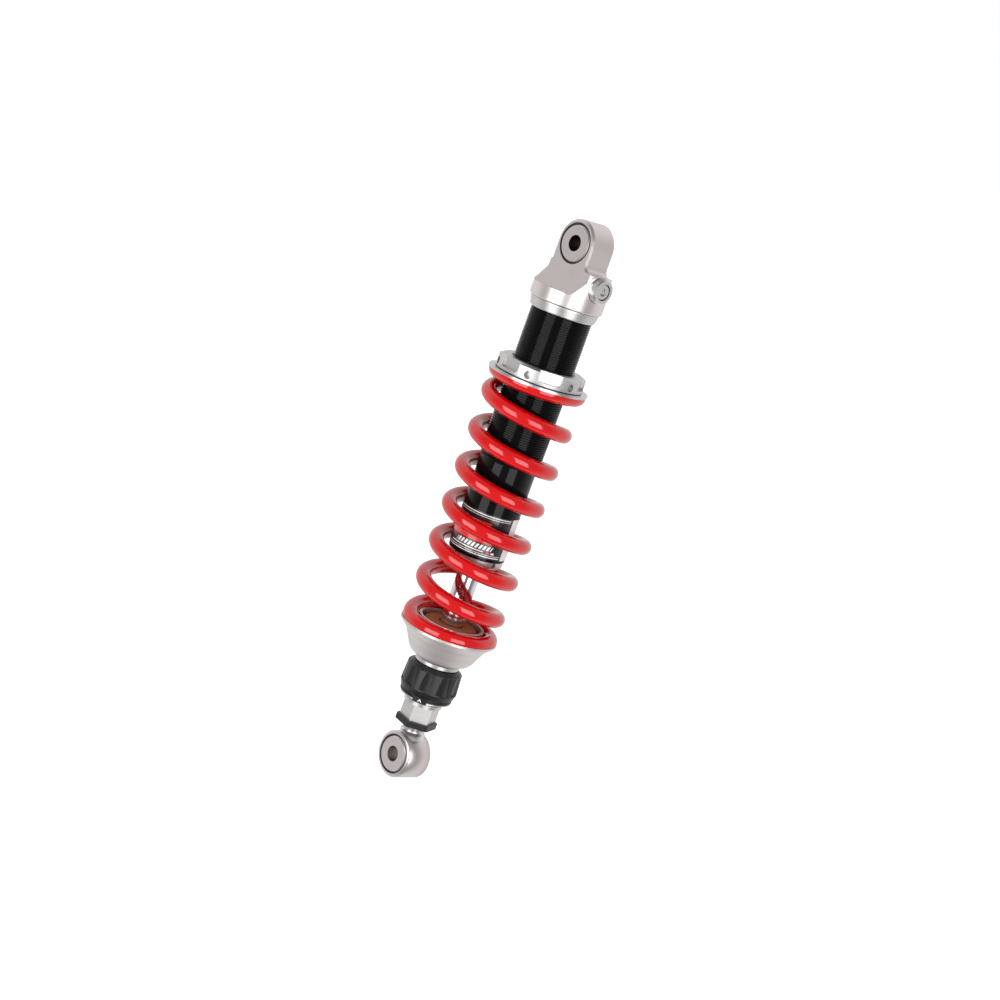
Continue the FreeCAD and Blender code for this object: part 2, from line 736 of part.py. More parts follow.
def piston_band():
    low = piston_z + (PISTON_HEIGHT - PISTON_BAND) / 2
    return ring(BORE - RUN / 2, BORE - PISTON_BAND_DEPTH, low, low + PISTON_BAND)


def clamp_washer():
    return ring(STEM_RADIUS + CLAMP_WASHER_WALL, STEM_RADIUS + SEAT, clamp_washer_z, piston_nut_z)


def piston_nut():
    flats = 2 * (STEM_RADIUS + PISTON_NUT_WALL)
    body = hexagon(flats, piston_nut_z, piston_nut_z + PISTON_NUT_HEIGHT)
    return body.cut(disc(STEM_RADIUS + SEAT, piston_nut_z - PAST, stem_top))


# ---- rod end with its rings ----------------------------------------------------------------------
def rod_end():
    """Hexagon below, grooved ring, then the neck that the knob turns on; bored for rod and stud."""
    band = disc(fork_ring_radius, hex_top, fork_ring_top)
    groove_z = hex_top + FORK_GROOVE_RISE
    groove = ring(fork_ring_radius + PAST, fork_ring_radius - FORK_GROOVE, groove_z, groove_z + FORK_GROOVE)
    foot = hexagon(hex_flats, fork_bottom, hex_top, HEX_TURN)
    neck = disc(neck_radius, fork_ring_top, neck_top)
    body = foot.fuse([band.cut(groove), neck]).removeSplitter()
    detent = radial(DETENT_BALL_RADIUS + RUN, neck_radius - DETENT_POCKET, neck_radius + PAST, detent_z, 90)
    tools = [disc(STUD_RADIUS + RUN, fork_bottom - PAST, rod_foot),
             disc(ROD_RADIUS + SEAT, rod_foot, neck_top + PAST), pin_slot(), detent]
    return cut_all(body, tools)


def indicator_washer():
    return ring(neck_radius + INDICATOR_WASHER_WALL, neck_radius + SEAT, fork_ring_top, indicator_bottom)


def indicator_ring():
    """The fixed black ring under the knob, with one thick tab to count the clicks from."""
    inner = neck_radius + SEAT
    outer = neck_radius + INDICATOR_WALL
    points = [(inner, indicator_bottom), (outer - EDGE, indicator_bottom), (outer, indicator_bottom + EDGE),
              (outer, indicator_top), (inner, indicator_top)]
    far = outer + INDICATOR_TAB_OUT
    low = indicator_bottom - INDICATOR_TAB_RISE
    near = neck_radius + INDICATOR_WASHER_WALL + SEAT
    outline = [(near, low), (far, low), (far, indicator_top), (near, indicator_top)]
    tab = turned(outline, INDICATOR_TAB_DEGREES)
    tab.rotate(V(0, 0, 0), V(0, 0, 1), INDICATOR_TAB_MIDDLE - INDICATOR_TAB_DEGREES / 2)
    return turned(points).fuse(tab)


def cup_support_ring():
    outer = neck_radius + SUPPORT_RING_WALL
    inner = ROD_RADIUS + SEAT
    return turned([(inner, neck_top), (outer - EDGE, neck_top), (outer, neck_top + EDGE),
                   (outer, cup_bottom), (inner, cup_bottom)])


def detent_ball():
    return Part.makeSphere(DETENT_BALL_RADIUS, V(0, neck_radius - DETENT_BALL_RADIUS, detent_z))


# ---- rebound knob and needle ---------------------------------------------------------------------
def knob_flute():
    """A shallow scallop; cut from the side and stopped above the knob's plain foot."""
    centre = knob_radius + KNOB_FLUTE_RADIUS - KNOB_FLUTE_DEPTH
    low = knob_bottom + KNOB_FLUTE_RISE
    return Part.makeCylinder(KNOB_FLUTE_RADIUS, KNOB_HEIGHT, V(centre, 0, low))


def rebound_knob():
    inner = neck_radius + RUN
    cam = neck_radius + CAM_GROOVE_DEPTH
    cam_low = pin_z - CAM_GROOVE_HEIGHT / 2
    cam_high = pin_z + CAM_GROOVE_HEIGHT / 2
    points = [(inner, knob_bottom), (knob_radius - KNOB_FOOT_STEP, knob_bottom),
              (knob_radius, knob_bottom + KNOB_WIDE_RISE),
              (knob_radius - KNOB_SHOULDER_STEP, knob_top - KNOB_SHOULDER_DROP),
              (knob_radius - KNOB_TOP_STEP, knob_top), (inner, knob_top),
              (inner, cam_high), (cam, cam_high), (cam, cam_low), (inner, cam_low)]
    return cut_all(turned(points), around(knob_flute(), KNOB_FLUTES, KNOB_FLUTE_START))


def adjuster_pin():
    return Part.makeCylinder(PIN_RADIUS, 2 * pin_reach, V(-pin_reach, 0, pin_z), V(1, 0, 0))


def metering_needle():
    """The long needle inside the rod; its thin tip stands in the stem's orifice."""
    outer = NEEDLE_BORE - NEEDLE_CLEAR
    tip_foot = stop_washer_z - PIN_TRAVEL - FREE
    tip_end = tip_foot + NEEDLE_TIP
    low = pin_z - NEEDLE_FOOT
    points = [(0, low), (outer, low), (outer, tip_foot - NEEDLE_TIP), (NEEDLE_TIP_RADIUS, tip_foot),
              (NEEDLE_TIP_RADIUS, tip_end), (0, tip_end)]
    return turned(points).cut(adjuster_pin())


# ---- spring cup and bump stop --------------------------------------------------------------------
def spring_cup():
    """Conical cup: flat seat for the spring, a lip that centres it, a deep pocket for the bump stop."""
    hole = ROD_RADIUS + SEAT
    lip_top = spring_bottom + CUP_LIP
    neck_z = spring_bottom - CUP_NECK_DROP
    points = [(hole, cup_bottom), (neck_radius + SUPPORT_RING_WALL, cup_bottom),
              (cup_radius - CUP_FOOT_STEP, cup_bottom + CUP_FOOT_RISE),
              (cup_radius - CUP_WAIST_STEP, cup_bottom + CUP_WAIST_RISE),
              (cup_radius - CUP_NECK_STEP, neck_z), (cup_radius, spring_bottom - CUP_RIM),
              (cup_radius, spring_bottom), (cup_lip_radius, spring_bottom),
              (cup_lip_radius, lip_top), (cup_bore_radius, lip_top), (cup_bore_radius, neck_z),
              (cup_bore_radius - CUP_FLOOR_TAPER, cup_floor), (hole, cup_floor)]
    return turned(points)


def bump_washer():
    return ring(bump_foot_radius, ROD_RADIUS + SEAT, cup_floor, bump_bottom)


def bump_stop():
    inner = ROD_RADIUS + FREE
    high = bump_bottom + BUMP_HEIGHT
    middle = (bump_bottom + high) / 2
    waist = (bump_foot_radius + bump_top_radius) / 2 - BUMP_WAIST
    return turned([(inner, bump_bottom), (bump_foot_radius, bump_bottom), (waist, middle),
                   (bump_top_radius, high - BUMP_WAIST), (bump_top_radius - BUMP_TOP_BEVEL, high),
                   (inner, high)])


# ---- lower eye and lock nut ----------------------------------------------------------------------
def lower_eye():
    half = EYE_WIDTH / 2
    drum = across(eye_radius, -half, half, lower_eye_z)
    drum = chamfered(drum, EYE_CHAMFER, lambda e: e.BoundBox.YLength < SEAT)
    stud = disc(STUD_RADIUS, lower_eye_z, stud_top)
    collar = disc(STUD_RADIUS + STUD_COLLAR_WALL, lower_eye_z, lower_eye_z + eye_radius + STUD_COLLAR_SHOW)
    return drum.fuse([stud, collar]).cut(eye_bore(lower_eye_z)).removeSplitter()


def lock_nut():
    high = fork_bottom - FACE
    low = high - LOCK_NUT_HEIGHT
    corner = lock_nut_flats / math.sqrt(3)
    face = corner - LOCK_NUT_FACE_STEP
    edge = corner + PAST
    inner = STUD_RADIUS + RUN
    limit = turned([(inner, low), (face, low), (edge, low + LOCK_NUT_CHAMFER),
                    (edge, high - LOCK_NUT_CHAMFER), (face, high), (inner, high)])
    return hexagon(lock_nut_flats, low, high, HEX_TURN).common(limit)


# ---- every piece and the file it goes to ---------------------------------------------------------
PIECES = {
    "head_cap": head_cap,
    "head_lock_ring": head_lock_ring,
    "head_ring_seal": head_ring,
    "gas_valve_body": gas_valve_body,
    "gas_valve_seal": gas_valve_ring,
    "gas_valve_screw": gas_valve_screw,
    "barrel_tube": barrel_tube,
    "barrel_label": barrel_label,
    "seal_head": seal_head,
    "seal_head_ring": seal_head_ring,
    "rod_wiper": rod_wiper,
    "rod_seal": rod_seal,
    "rod_bushing": rod_bushing,
    "keeper_ring": keeper_ring,
    "topout_bumper": topout_bumper,
    "free_piston": free_piston,
    "free_piston_ring": free_piston_ring,
    "free_piston_band": free_piston_band,
    "spring_washer": spring_washer,
    "preload_nut": preload_nut,
    "spring": spring,
    "piston_rod": piston_rod,
    "rebound_stop_washer": rebound_stop_washer,
    "rebound_shims": lambda: shims(rebound_shims_z, True),
    "piston": piston,
    "piston_band": piston_band,
    "compression_shims": lambda: shims(compression_shims_z, False),
    "clamp_washer": clamp_washer,
    "piston_nut": piston_nut,
    "rod_end": rod_end,
    "indicator_washer": indicator_washer,
    "indicator_ring": indicator_ring,
    "cup_support_ring": cup_support_ring,
    "detent_ball": detent_ball,
    "rebound_knob": rebound_knob,
    "adjuster_pin": adjuster_pin,
    "metering_needle": metering_needle,
    "spring_cup": spring_cup,
    "bump_washer": bump_washer,
    "bump_stop": bump_stop,
    "lower_eye": lower_eye,
    "lock_nut": lock_nut,
}
for side, eye_z in (("upper", 0.0), ("lower", lower_eye_z)):
    PIECES[side + "_outer_race"] = lambda z=eye_z: outer_race(z)
    PIECES[side + "_snap_rings"] = lambda z=eye_z: snap_rings(z)
    PIECES[side + "_back_seal"] = lambda z=eye_z: dust_seal(z)
    PIECES[side + "_front_seal"] = lambda z=eye_z: mirrored(dust_seal(z))
    PIECES[side + "_ball"] = lambda z=eye_z: ball(z)
    PIECES[side + "_back_collar"] = lambda z=eye_z: back_collar(z)
    PIECES[side + "_front_collar"] = lambda z=eye_z: front_collar(z)

os.makedirs("parts", exist_ok=True)
for node, make in PIECES.items():
    make().exportStep("parts/" + node + ".step")
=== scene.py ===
"""The looks of a motorcycle's rear shock absorber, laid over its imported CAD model.

The frame is the model's own: metres, the origin in the upper eye's bolt bore, +Z up along the
damper, +Y along the eye bolts, +X towards the gas valve. Sizes below are in millimetres where
their name ends in _MM, and are multiplied by MM on use.
"""
import json
import math
import bmesh
import bpy
from mathutils import Matrix, Vector


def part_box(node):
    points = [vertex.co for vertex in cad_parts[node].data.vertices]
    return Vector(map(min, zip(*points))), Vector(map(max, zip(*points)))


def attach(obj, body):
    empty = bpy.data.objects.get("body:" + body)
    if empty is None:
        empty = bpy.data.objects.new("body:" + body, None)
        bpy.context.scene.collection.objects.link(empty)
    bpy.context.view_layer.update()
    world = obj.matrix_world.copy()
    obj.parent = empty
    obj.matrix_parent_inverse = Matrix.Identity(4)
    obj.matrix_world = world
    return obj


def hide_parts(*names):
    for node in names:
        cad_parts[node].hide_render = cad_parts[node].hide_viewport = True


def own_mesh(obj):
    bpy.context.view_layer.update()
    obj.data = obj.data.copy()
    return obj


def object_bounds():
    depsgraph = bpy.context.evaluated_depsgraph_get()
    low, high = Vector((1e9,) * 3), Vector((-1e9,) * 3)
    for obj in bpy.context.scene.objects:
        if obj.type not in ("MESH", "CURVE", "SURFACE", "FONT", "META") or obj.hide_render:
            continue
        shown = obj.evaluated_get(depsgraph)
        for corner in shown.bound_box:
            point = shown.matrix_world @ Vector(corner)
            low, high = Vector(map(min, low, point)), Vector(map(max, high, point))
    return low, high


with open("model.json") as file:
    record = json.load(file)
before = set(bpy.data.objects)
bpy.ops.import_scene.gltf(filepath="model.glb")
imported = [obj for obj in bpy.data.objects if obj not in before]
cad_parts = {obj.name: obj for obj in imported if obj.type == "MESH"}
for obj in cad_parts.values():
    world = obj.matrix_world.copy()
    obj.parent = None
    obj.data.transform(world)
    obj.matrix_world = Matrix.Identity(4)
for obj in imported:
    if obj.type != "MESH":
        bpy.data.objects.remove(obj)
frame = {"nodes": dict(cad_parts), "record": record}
cad_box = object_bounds()

MM = 0.001
TURN = 2 * math.pi

# ---- sizes of the pieces modelled here ------------------------------------------------------
# Threads: both have the body thread's pitch.
PITCH_MM = 1.5
THREAD_DEPTH_MM = 0.8
ROWS_PER_PITCH = 4
CREST_ROWS = (1.5, 0.6)

# Damper body: a helix above, a smooth tube below it.
BODY_FACETS = 96
BODY_WALL_MM = 2.8
BODY_BEVEL_MM = 0.4
SMOOTH_LENGTH_MM = 64.3
THREAD_STEP_MM = 1.2
THREAD_FOOT_MM = 2.1
RUBBED_DEPTH_MM = 0.12

# Lower eye's stud: its radius, and where it starts above the eye's middle.
STUD_MM = 7.0
STUD_START_MM = 17.0
STUD_FACETS = 64
NEAR = 0.02 * MM

# Coil: the slope is the drop of one turn at the closed ends.
WIRE_MM = 10.0
WIRE_SEGMENTS = 28
COIL_SEGMENTS = 580
COIL_TURNS = 8.09
COIL_END_TURNS = 0.75
COIL_END_SLOPE_MM = 2.0
COIL_START_DEGREES = 130.0

# Foam stop: its bore clearance, waist, wall and rounded top edge.
FOAM_FACETS = 72
FOAM_STEPS = 30
FOAM_CLEARANCE_MM = 0.3
FOAM_WAIST_MM = 1.6
FOAM_WAIST_SHARE = 0.7
FOAM_WALL_SHARE = 0.95
FOAM_BEVEL_MM = 0.9
FOAM_CORNER_SHARE = 0.3

# Zero mark on the ring's tab.
ARROW_MIDDLE_DEGREES = -53.0
ARROW_RADIUS_MM = 18.45
ARROW_SKIN_MM = 0.08
ARROW_HALF_WIDTH_MM = 1.6
ARROW_HALF_HEIGHT_MM = 1.0

# Film on the body, in millimetres around it from its middle and up from its foot.
FILM_MIDDLE_DEGREES = -53.0
FILM_LEAN = -0.45
RULE_SPAN = (-24.0, 18.6)
PLAIN_RULES = ((0.9, 1.5), (26.7, 27.3))
DOTTED_RULES = ((2.1, 2.7), (25.4, 26.0))
DOT_PERIOD, DOT_SHARE = 0.9, 0.6
RED_BANDS = (((-27.0, 6.0), (9.2, 12.6)), ((-27.0, -4.0), (21.0, 22.8)))
RED_BLOCK = ((8.4, 10.8), (3.4, 4.6))
WHITE_BLOCKS = (((-19.0, 6.0), (3.7, 4.4)), ((11.6, 13.8), (3.4, 4.6)))
BAR_SPAN, BAR_RISE = (-17.0, 8.6), (5.2, 8.2)
BAR_PERIOD, BAR_SHARE = 2.6, 0.62
PANEL_START = 20.4

# Wear and dirt, with painted highlights along metal edges and painted shade in holes and seams.
EDGE_GAIN = 7.0
EDGE_GRAIN = 900.0
# Painted shade in holes and seams: the occlusion range that it spans, and how dark it gets at most.
OPENING_RANGE = (0.10, 0.50)
DARKEST_PAINTED_SHADE = 0.85
BAND_DENSITY = 0.07
SPECK_FINENESS = 40.0

# ---- studio --------------------------------------------------------------------------------
CAMERA_AT = Vector((0.8747, -0.8909, 0.0951))
CAMERA_LOOKS_AT = Vector((0.00204, 0.00199, -0.16905))
CAMERA_ROLL_DEGREES = 19.73
CAMERA_LENS_MM = 72.4
CAMERA_CLIP = (0.05, 100.0)
LEFT_BOX = {"turn_degrees": -35.0, "rise_degrees": 2.0, "size": (0.60, 0.92), "power": 4.8}
RIGHT_BOX = {"turn_degrees": 29.0, "rise_degrees": 2.0, "size": (0.56, 0.92), "power": 4.3}
SOFTBOX_DISTANCE = 0.95
MIRRORED_FRONT = 0.225
MIRRORED_BACK = 0.75
MIRROR_TURNS = (-0.25, 0.30)
FILL_LIGHT = 0.55
WARM_WHITE = (1.0, 0.985, 0.975, 1.0)
WHITE = (1.0, 1.0, 1.0, 1.0)
FLOOR_RADIUS = 40.0
FLOOR_FACETS = 96
FLOOR_DROP = 0.16
FLOOR_GLOW = 0.90


# ---- node trees ----------------------------------------------------------------------------
def node(tree, kind, inputs=None, **settings):
    """Adds a node; an input takes a number, a colour or another node's socket."""
    made = tree.nodes.new(kind)
    for key, value in settings.items():
        setattr(made, key, value)
    for key, value in (inputs or {}).items():
        if isinstance(value, bpy.types.NodeSocket):
            tree.links.new(value, made.inputs[key])
        else:
            made.inputs[key].default_value = value
    return made


def calc(tree, operation, a, b=0.0, c=0.0, clamp=False):
    """One step of arithmetic on numbers or sockets."""
    settings = {"operation": operation, "use_clamp": clamp}
    return node(tree, "ShaderNodeMath", {0: a, 1: b, 2: c}, **settings).outputs[0]


def product(tree, first, *others):
    """Multiplies numbers or masks; of masks, it leaves what all of them cover."""
    for other in others:
        first = calc(tree, "MULTIPLY", first, other)
    return first


def either(tree, first, *others):
    """What at least one of several masks covers."""
    for other in others:
        first = calc(tree, "MAXIMUM", first, other)
    return first


def between(tree, value, low, high):
    """1 where value lies between two limits, else 0."""
    return calc(tree, "COMPARE", value, (low + high) / 2, (high - low) / 2)


def held(tree, value, low, high):
    """A value kept from leaving its limits."""
    return calc(tree, "MINIMUM", calc(tree, "MAXIMUM", value, low), high)


def parts_of(tree, vector):
    """The x, y and z of a vector."""
    return node(tree, "ShaderNodeSeparateXYZ", {0: vector}).outputs


def from_axis(tree, x, y):
    """How far a point lies from the Z axis."""
    return calc(tree, "SQRT", calc(tree, "MULTIPLY_ADD", x, x, calc(tree, "MULTIPLY", y, y)))


def likeness(tree, a, b):
    """1 where two directions agree, 0 where they are square to each other."""
    return node(tree, "ShaderNodeVectorMath", {0: a, 1: b}, operation="DOT_PRODUCT").outputs["Value"]


def noise(tree, vector, scale, detail, **inputs):
    """Soft random values over a surface."""
    given = {"Vector": vector, "Scale": scale, "Detail": detail, **inputs}
    return node(tree, "ShaderNodeTexNoise", given).outputs[0]


def noise_along(tree, place, detail):
    """Soft random values along a line."""
    given = {"W": place, "Scale": 1.0, "Detail": detail}
    return node(tree, "ShaderNodeTexNoise", given, noise_dimensions="1D").outputs[0]


def new_group(name, kind, inputs, outputs):
    """An empty node group with named sockets: (name, socket type, starting value)."""
    tree = bpy.data.node_groups.new(name, kind)
    for label, socket_type, value in inputs:
        socket = tree.interface.new_socket(label, in_out="INPUT", socket_type=socket_type)
        if value is not None:
            socket.default_value = value
    for label, socket_type in outputs:
        tree.interface.new_socket(label, in_out="OUTPUT", socket_type=socket_type)
    return tree, tree.nodes.new("NodeGroupInput").outputs, tree.nodes.new("NodeGroupOutput").inputs


def use(tree, group, **inputs):
    """Places a shader group; underscores in the names stand for blanks."""
    placed = tree.nodes.new("ShaderNodeGroup")
    placed.node_tree = group
    for key, value in inputs.items():
        socket = placed.inputs[key.replace("_", " ")]
        if isinstance(value, bpy.types.NodeSocket):
            tree.links.new(value, socket)
        else:
            socket.default_value = value
    return placed.outputs


# ---- surface effects that several finishes share ----------------------------------------------
def lathe_marks():
    """Fine rings that a lathe leaves: they follow height on walls and radius on faces."""
    tree, given, wanted = new_group(
        "lathe_marks", "ShaderNodeTree",
        [("Vector", "NodeSocketVector", None), ("Density", "NodeSocketFloat", 4000.0)],
        [("Height", "NodeSocketFloat"), ("Bands", "NodeSocketFloat")])
    x, y, z = parts_of(tree, given["Vector"])
    along = calc(tree, "ADD", from_axis(tree, x, y), z)
    fine = noise_along(tree, product(tree, along, given["Density"]), 3.0)
    bands = noise_along(tree, product(tree, along, given["Density"], BAND_DENSITY), 1.0)
    tree.links.new(fine, wanted["Height"])
    tree.links.new(bands, wanted["Bands"])
    return tree


def worn_edges():
    """A mask of the narrow strip beside each outer edge, broken up by noise: real wear on black coats, a
    painted highlight on bare metal.
    """
    tree, given, wanted = new_group(
        "worn_edges", "ShaderNodeTree",
        [("Vector", "NodeSocketVector", None), ("Width", "NodeSocketFloat", 0.0004),
         ("Unevenness", "NodeSocketFloat", 0.5)],
        [("Mask", "NodeSocketFloat")])
    rounded = node(tree, "ShaderNodeBevel", {"Radius": given["Width"]}, samples=4).outputs[0]
    true = node(tree, "ShaderNodeNewGeometry").outputs["True Normal"]
    bend = product(tree, calc(tree, "SUBTRACT", 1.0, likeness(tree, rounded, true)), EDGE_GAIN)
    grain = noise(tree, given["Vector"], EDGE_GRAIN, 3.0)
    broken = product(tree, grain, given["Unevenness"])
    tree.links.new(calc(tree, "SUBTRACT", bend, broken, clamp=True), wanted["Mask"])
    return tree


def painted_crevice_shade():
    """A mask of painted shade: what lies deep in holes and seams, where light does not reach."""
    tree, given, wanted = new_group("painted_crevice_shade", "ShaderNodeTree", [("Reach", "NodeSocketFloat", 0.003)],
                                    [("Mask", "NodeSocketFloat")])
    opened = node(tree, "ShaderNodeAmbientOcclusion", {"Distance": given["Reach"]}, samples=8).outputs["AO"]
    deep = node(tree, "ShaderNodeMapRange", {"Value": opened, "From Min": OPENING_RANGE[0],
                                             "From Max": OPENING_RANGE[1], "To Min": DARKEST_PAINTED_SHADE,
                                             "To Max": 0.0}).outputs[0]
    tree.links.new(deep, wanted["Mask"])
    return tree


def handling():
    """Faint smudges and fine specks of a part that has been handled."""
    tree, given, wanted = new_group(
        "handling", "ShaderNodeTree",
        [("Vector", "NodeSocketVector", None), ("Size", "NodeSocketFloat", 60.0)],
        [("Smudge", "NodeSocketFloat"), ("Speck", "NodeSocketFloat")])
    smudge = noise(tree, given["Vector"], given["Size"], 4.0, Distortion=0.6)
    speck = noise(tree, given["Vector"], product(tree, given["Size"], SPECK_FINENESS), 2.0)
    tree.links.new(smudge, wanted["Smudge"])
    tree.links.new(speck, wanted["Speck"])
    return tree


# Colour of the painted shade in holes and seams.
PAINTED_SHADE_COLOUR = (0.080, 0.072, 0.068)
LATHE = lathe_marks()
EDGE_WEAR_AND_HIGHLIGHT = worn_edges()
PAINTED_CREVICE_SHADE = painted_crevice_shade()
HANDLED = handling()


# ---- finishes ----------------------------------------------------------------------------------
def start_finish(name, **constants):
    """A material with its Principled shader; constants are set on the shader's own sockets."""
    material = bpy.data.materials.new(name)
    material.use_nodes = True
    tree = material.node_tree
    shader = tree.nodes["Principled BSDF"]
    for key, value in constants.items():
        shader.inputs[key.replace("_", " ")].default_value = value
    place = node(tree, "ShaderNodeTexCoord").outputs["Object"]
    return material, tree, shader, place


def mix_colours(tree, amount, a, b):
    """Mixes two colours; the colour sockets of a Mix node come last of their names."""
    made = tree.nodes.new("ShaderNodeMix")
    made.data_type = "RGBA"
    for index, value in ((0, amount), (6, a), (7, b)):
        if isinstance(value, bpy.types.NodeSocket):
            tree.links.new(value, made.inputs[index])
        else:
            made.inputs[index].default_value = value
    return made.outputs[2]


def spread(tree, value, low, high):
    """Maps 0..1 onto low..high."""
    return node(tree, "ShaderNodeMapRange", {"Value": value, "To Min": low, "To Max": high}).outputs[0]


def bumped(tree, shader, height, strength, depth_mm):
    """Raises the surface by a height mask."""
    given = {"Height": height, "Strength": strength, "Distance": depth_mm * MM}
    tree.links.new(node(tree, "ShaderNodeBump", given).outputs[0], shader.inputs["Normal"])


def coloured(tree, shader, colour):
    tree.links.new(colour, shader.inputs["Base Color"])


def roughened(tree, shader, roughness):
    tree.links.new(roughness, shader.inputs["Roughness"])


def shade(value, share=1.0):
    """A colour with its alpha, dimmed or brightened by a share."""
    return (value[0] * share, value[1] * share, value[2] * share, 1.0)


def about_eye(tree, place, height):
    """Turns a place so that the bolt's axis, along Y at a height, becomes the Z axis."""
    given = {"Vector": place, "Location": (0, height, 0), "Rotation": (math.radians(90), 0, 0)}
    return node(tree, "ShaderNodeMapping", given).outputs[0]


def with_painted_shade(tree, colour, turned, hole, hole_shade_share):
    """Paints shade into seams and holes, and into the hole of a given radius about the axis as far as its
    last argument says.
    """
    x, y, _ = parts_of(tree, turned)
    painted_hole_shade = product(tree, calc(tree, "LESS_THAN", from_axis(tree, x, y), hole), hole_shade_share)
    return mix_colours(tree, either(tree, painted_hole_shade, use(tree, PAINTED_CREVICE_SHADE)["Mask"]), colour, shade(PAINTED_SHADE_COLOUR))


def turned_metal(name, colour, edge_highlight, rough, density=3500.0, eye_height=None, hole=0.0, hole_shade_share=1.0):
    """Metal off a lathe: fine rings, slow bands of tone, a painted highlight along edges, painted shade in
    holes. An eye's axis is along Y.
    """
    material, tree, shader, place = start_finish(name, Metallic=1.0)
    turned = place if eye_height is None else about_eye(tree, place, eye_height)
    marks = use(tree, LATHE, Vector=turned, Density=density)
    edges = use(tree, EDGE_WEAR_AND_HIGHLIGHT, Vector=place)["Mask"]
    used = use(tree, HANDLED, Vector=place, Size=70.0)
    tone = mix_colours(tree, marks["Bands"], shade(colour, 0.9), shade(colour))
    # Painted highlight: the edge strip is mixed towards a near-white colour.
    with_edge_highlight = mix_colours(tree, edges, tone, shade(edge_highlight))
    coloured(tree, shader, with_painted_shade(tree, with_edge_highlight, turned, hole, hole_shade_share))
    lines = product(tree, marks["Height"], 0.10)
    smudged = calc(tree, "ADD", product(tree, used["Smudge"], 0.12), rough - 0.09)
    roughened(tree, shader, calc(tree, "ADD", smudged, lines))
    bumped(tree, shader, marks["Height"], strength=0.12, depth_mm=0.02)
    return material


def blasted_metal(name, colour, edge_highlight, rough, grain=2600.0):
    """Milled and bead-blasted aluminium: fine grain without a direction, a painted highlight along edges.
    """
    material, tree, shader, place = start_finish(name, Metallic=1.0)
    grains = noise(tree, place, grain, 3.0)
    edges = use(tree, EDGE_WEAR_AND_HIGHLIGHT, Vector=place, Width=0.5 * MM)["Mask"]
    used = use(tree, HANDLED, Vector=place, Size=55.0)
    tone = mix_colours(tree, used["Smudge"], shade(colour, 0.9), shade(colour))
    # Painted highlight along the edges.
    coloured(tree, shader, mix_colours(tree, edges, tone, shade(edge_highlight)))
    soft = calc(tree, "ADD", product(tree, used["Smudge"], 0.10), rough - 0.08)
    roughened(tree, shader, calc(tree, "ADD", soft, product(tree, grains, 0.06)))
    bumped(tree, shader, grains, strength=0.10, depth_mm=0.03)
    return material


def black_anodised(name, colour, rough, edge_colour, grain=1800.0):
    """Hard black oxide on aluminium: semi-gloss, thin and grey along sharp edges."""
    material, tree, shader, place = start_finish(name, Coat_Weight=0.1, Coat_Roughness=0.2,
                                                 Specular_IOR_Level=0.4)
    used = use(tree, HANDLED, Vector=place, Size=80.0)
    edges = use(tree, EDGE_WEAR_AND_HIGHLIGHT, Vector=place, Width=0.3 * MM, Unevenness=0.8)["Mask"]
    tone = mix_colours(tree, used["Smudge"], shade(colour, 0.75), shade(colour, 1.3))
    coloured(tree, shader, mix_colours(tree, edges, tone, shade(edge_colour)))
    roughened(tree, shader, spread(tree, used["Smudge"], rough - 0.06, rough + 0.08))
    bumped(tree, shader, noise(tree, place, grain, 2.0), strength=0.08, depth_mm=0.03)
    return material


def powder_coat(name, colour, deep):
    """Thick glossy coat with the slight waviness of baked powder."""
    material, tree, shader, place = start_finish(name, Coat_Weight=1.0, Coat_Roughness=0.02, Coat_IOR=1.7,
                                                 Specular_IOR_Level=0.05)
    used = use(tree, HANDLED, Vector=place, Size=40.0)
    coloured(tree, shader, mix_colours(tree, used["Smudge"], shade(deep), shade(colour)))
    roughened(tree, shader, spread(tree, used["Speck"], 0.24, 0.36))
    bumped(tree, shader, noise(tree, place, 260.0, 1.0), strength=0.05, depth_mm=0.08)
    return material


def chrome(name, dull, clear):
    """Hard chrome, ground and polished: nearly a mirror, with the faintest rings."""
    material, tree, shader, place = start_finish(name, Metallic=1.0)
    marks = use(tree, LATHE, Vector=place, Density=6000.0)
    used = use(tree, HANDLED, Vector=place, Size=50.0)
    coloured(tree, shader, mix_colours(tree, marks["Bands"], shade(dull), shade(clear)))
    roughened(tree, shader, spread(tree, used["Smudge"], 0.07, 0.13))
    bumped(tree, shader, marks["Height"], strength=0.02, depth_mm=0.01)
    return material


def rubber(name, colour):
    """Moulded black rubber with dust in its grain."""
    material, tree, shader, place = start_finish(name, Sheen_Weight=0.15, Sheen_Roughness=0.5)
    used = use(tree, HANDLED, Vector=place, Size=110.0)
    coloured(tree, shader, mix_colours(tree, used["Speck"], shade(colour), shade(colour, 2.2)))
    roughened(tree, shader, spread(tree, used["Smudge"], 0.5, 0.75))
    bumped(tree, shader, used["Speck"], strength=0.15, depth_mm=0.05)
    return material


def foam(name, dark, light, pit):
    """Brown cellular polyurethane: a dense skin pitted with small pores."""
    material, tree, shader, place = start_finish(name, Sheen_Weight=0.05, Sheen_Roughness=0.4,
                                                 Specular_IOR_Level=0.2)
    given = {"Vector": place, "Scale": 1300.0, "Randomness": 1.0}
    cells = node(tree, "ShaderNodeTexVoronoi", given).outputs[0]
    used = use(tree, HANDLED, Vector=place, Size=90.0)
    tone = mix_colours(tree, used["Smudge"], shade(dark), shade(light))
    coloured(tree, shader, mix_colours(tree, spread(tree, cells, 0.35, 0.0), tone, shade(pit)))
    roughened(tree, shader, spread(tree, used["Speck"], 0.62, 0.85))
    bumped(tree, shader, cells, strength=0.35, depth_mm=0.1)
    return material


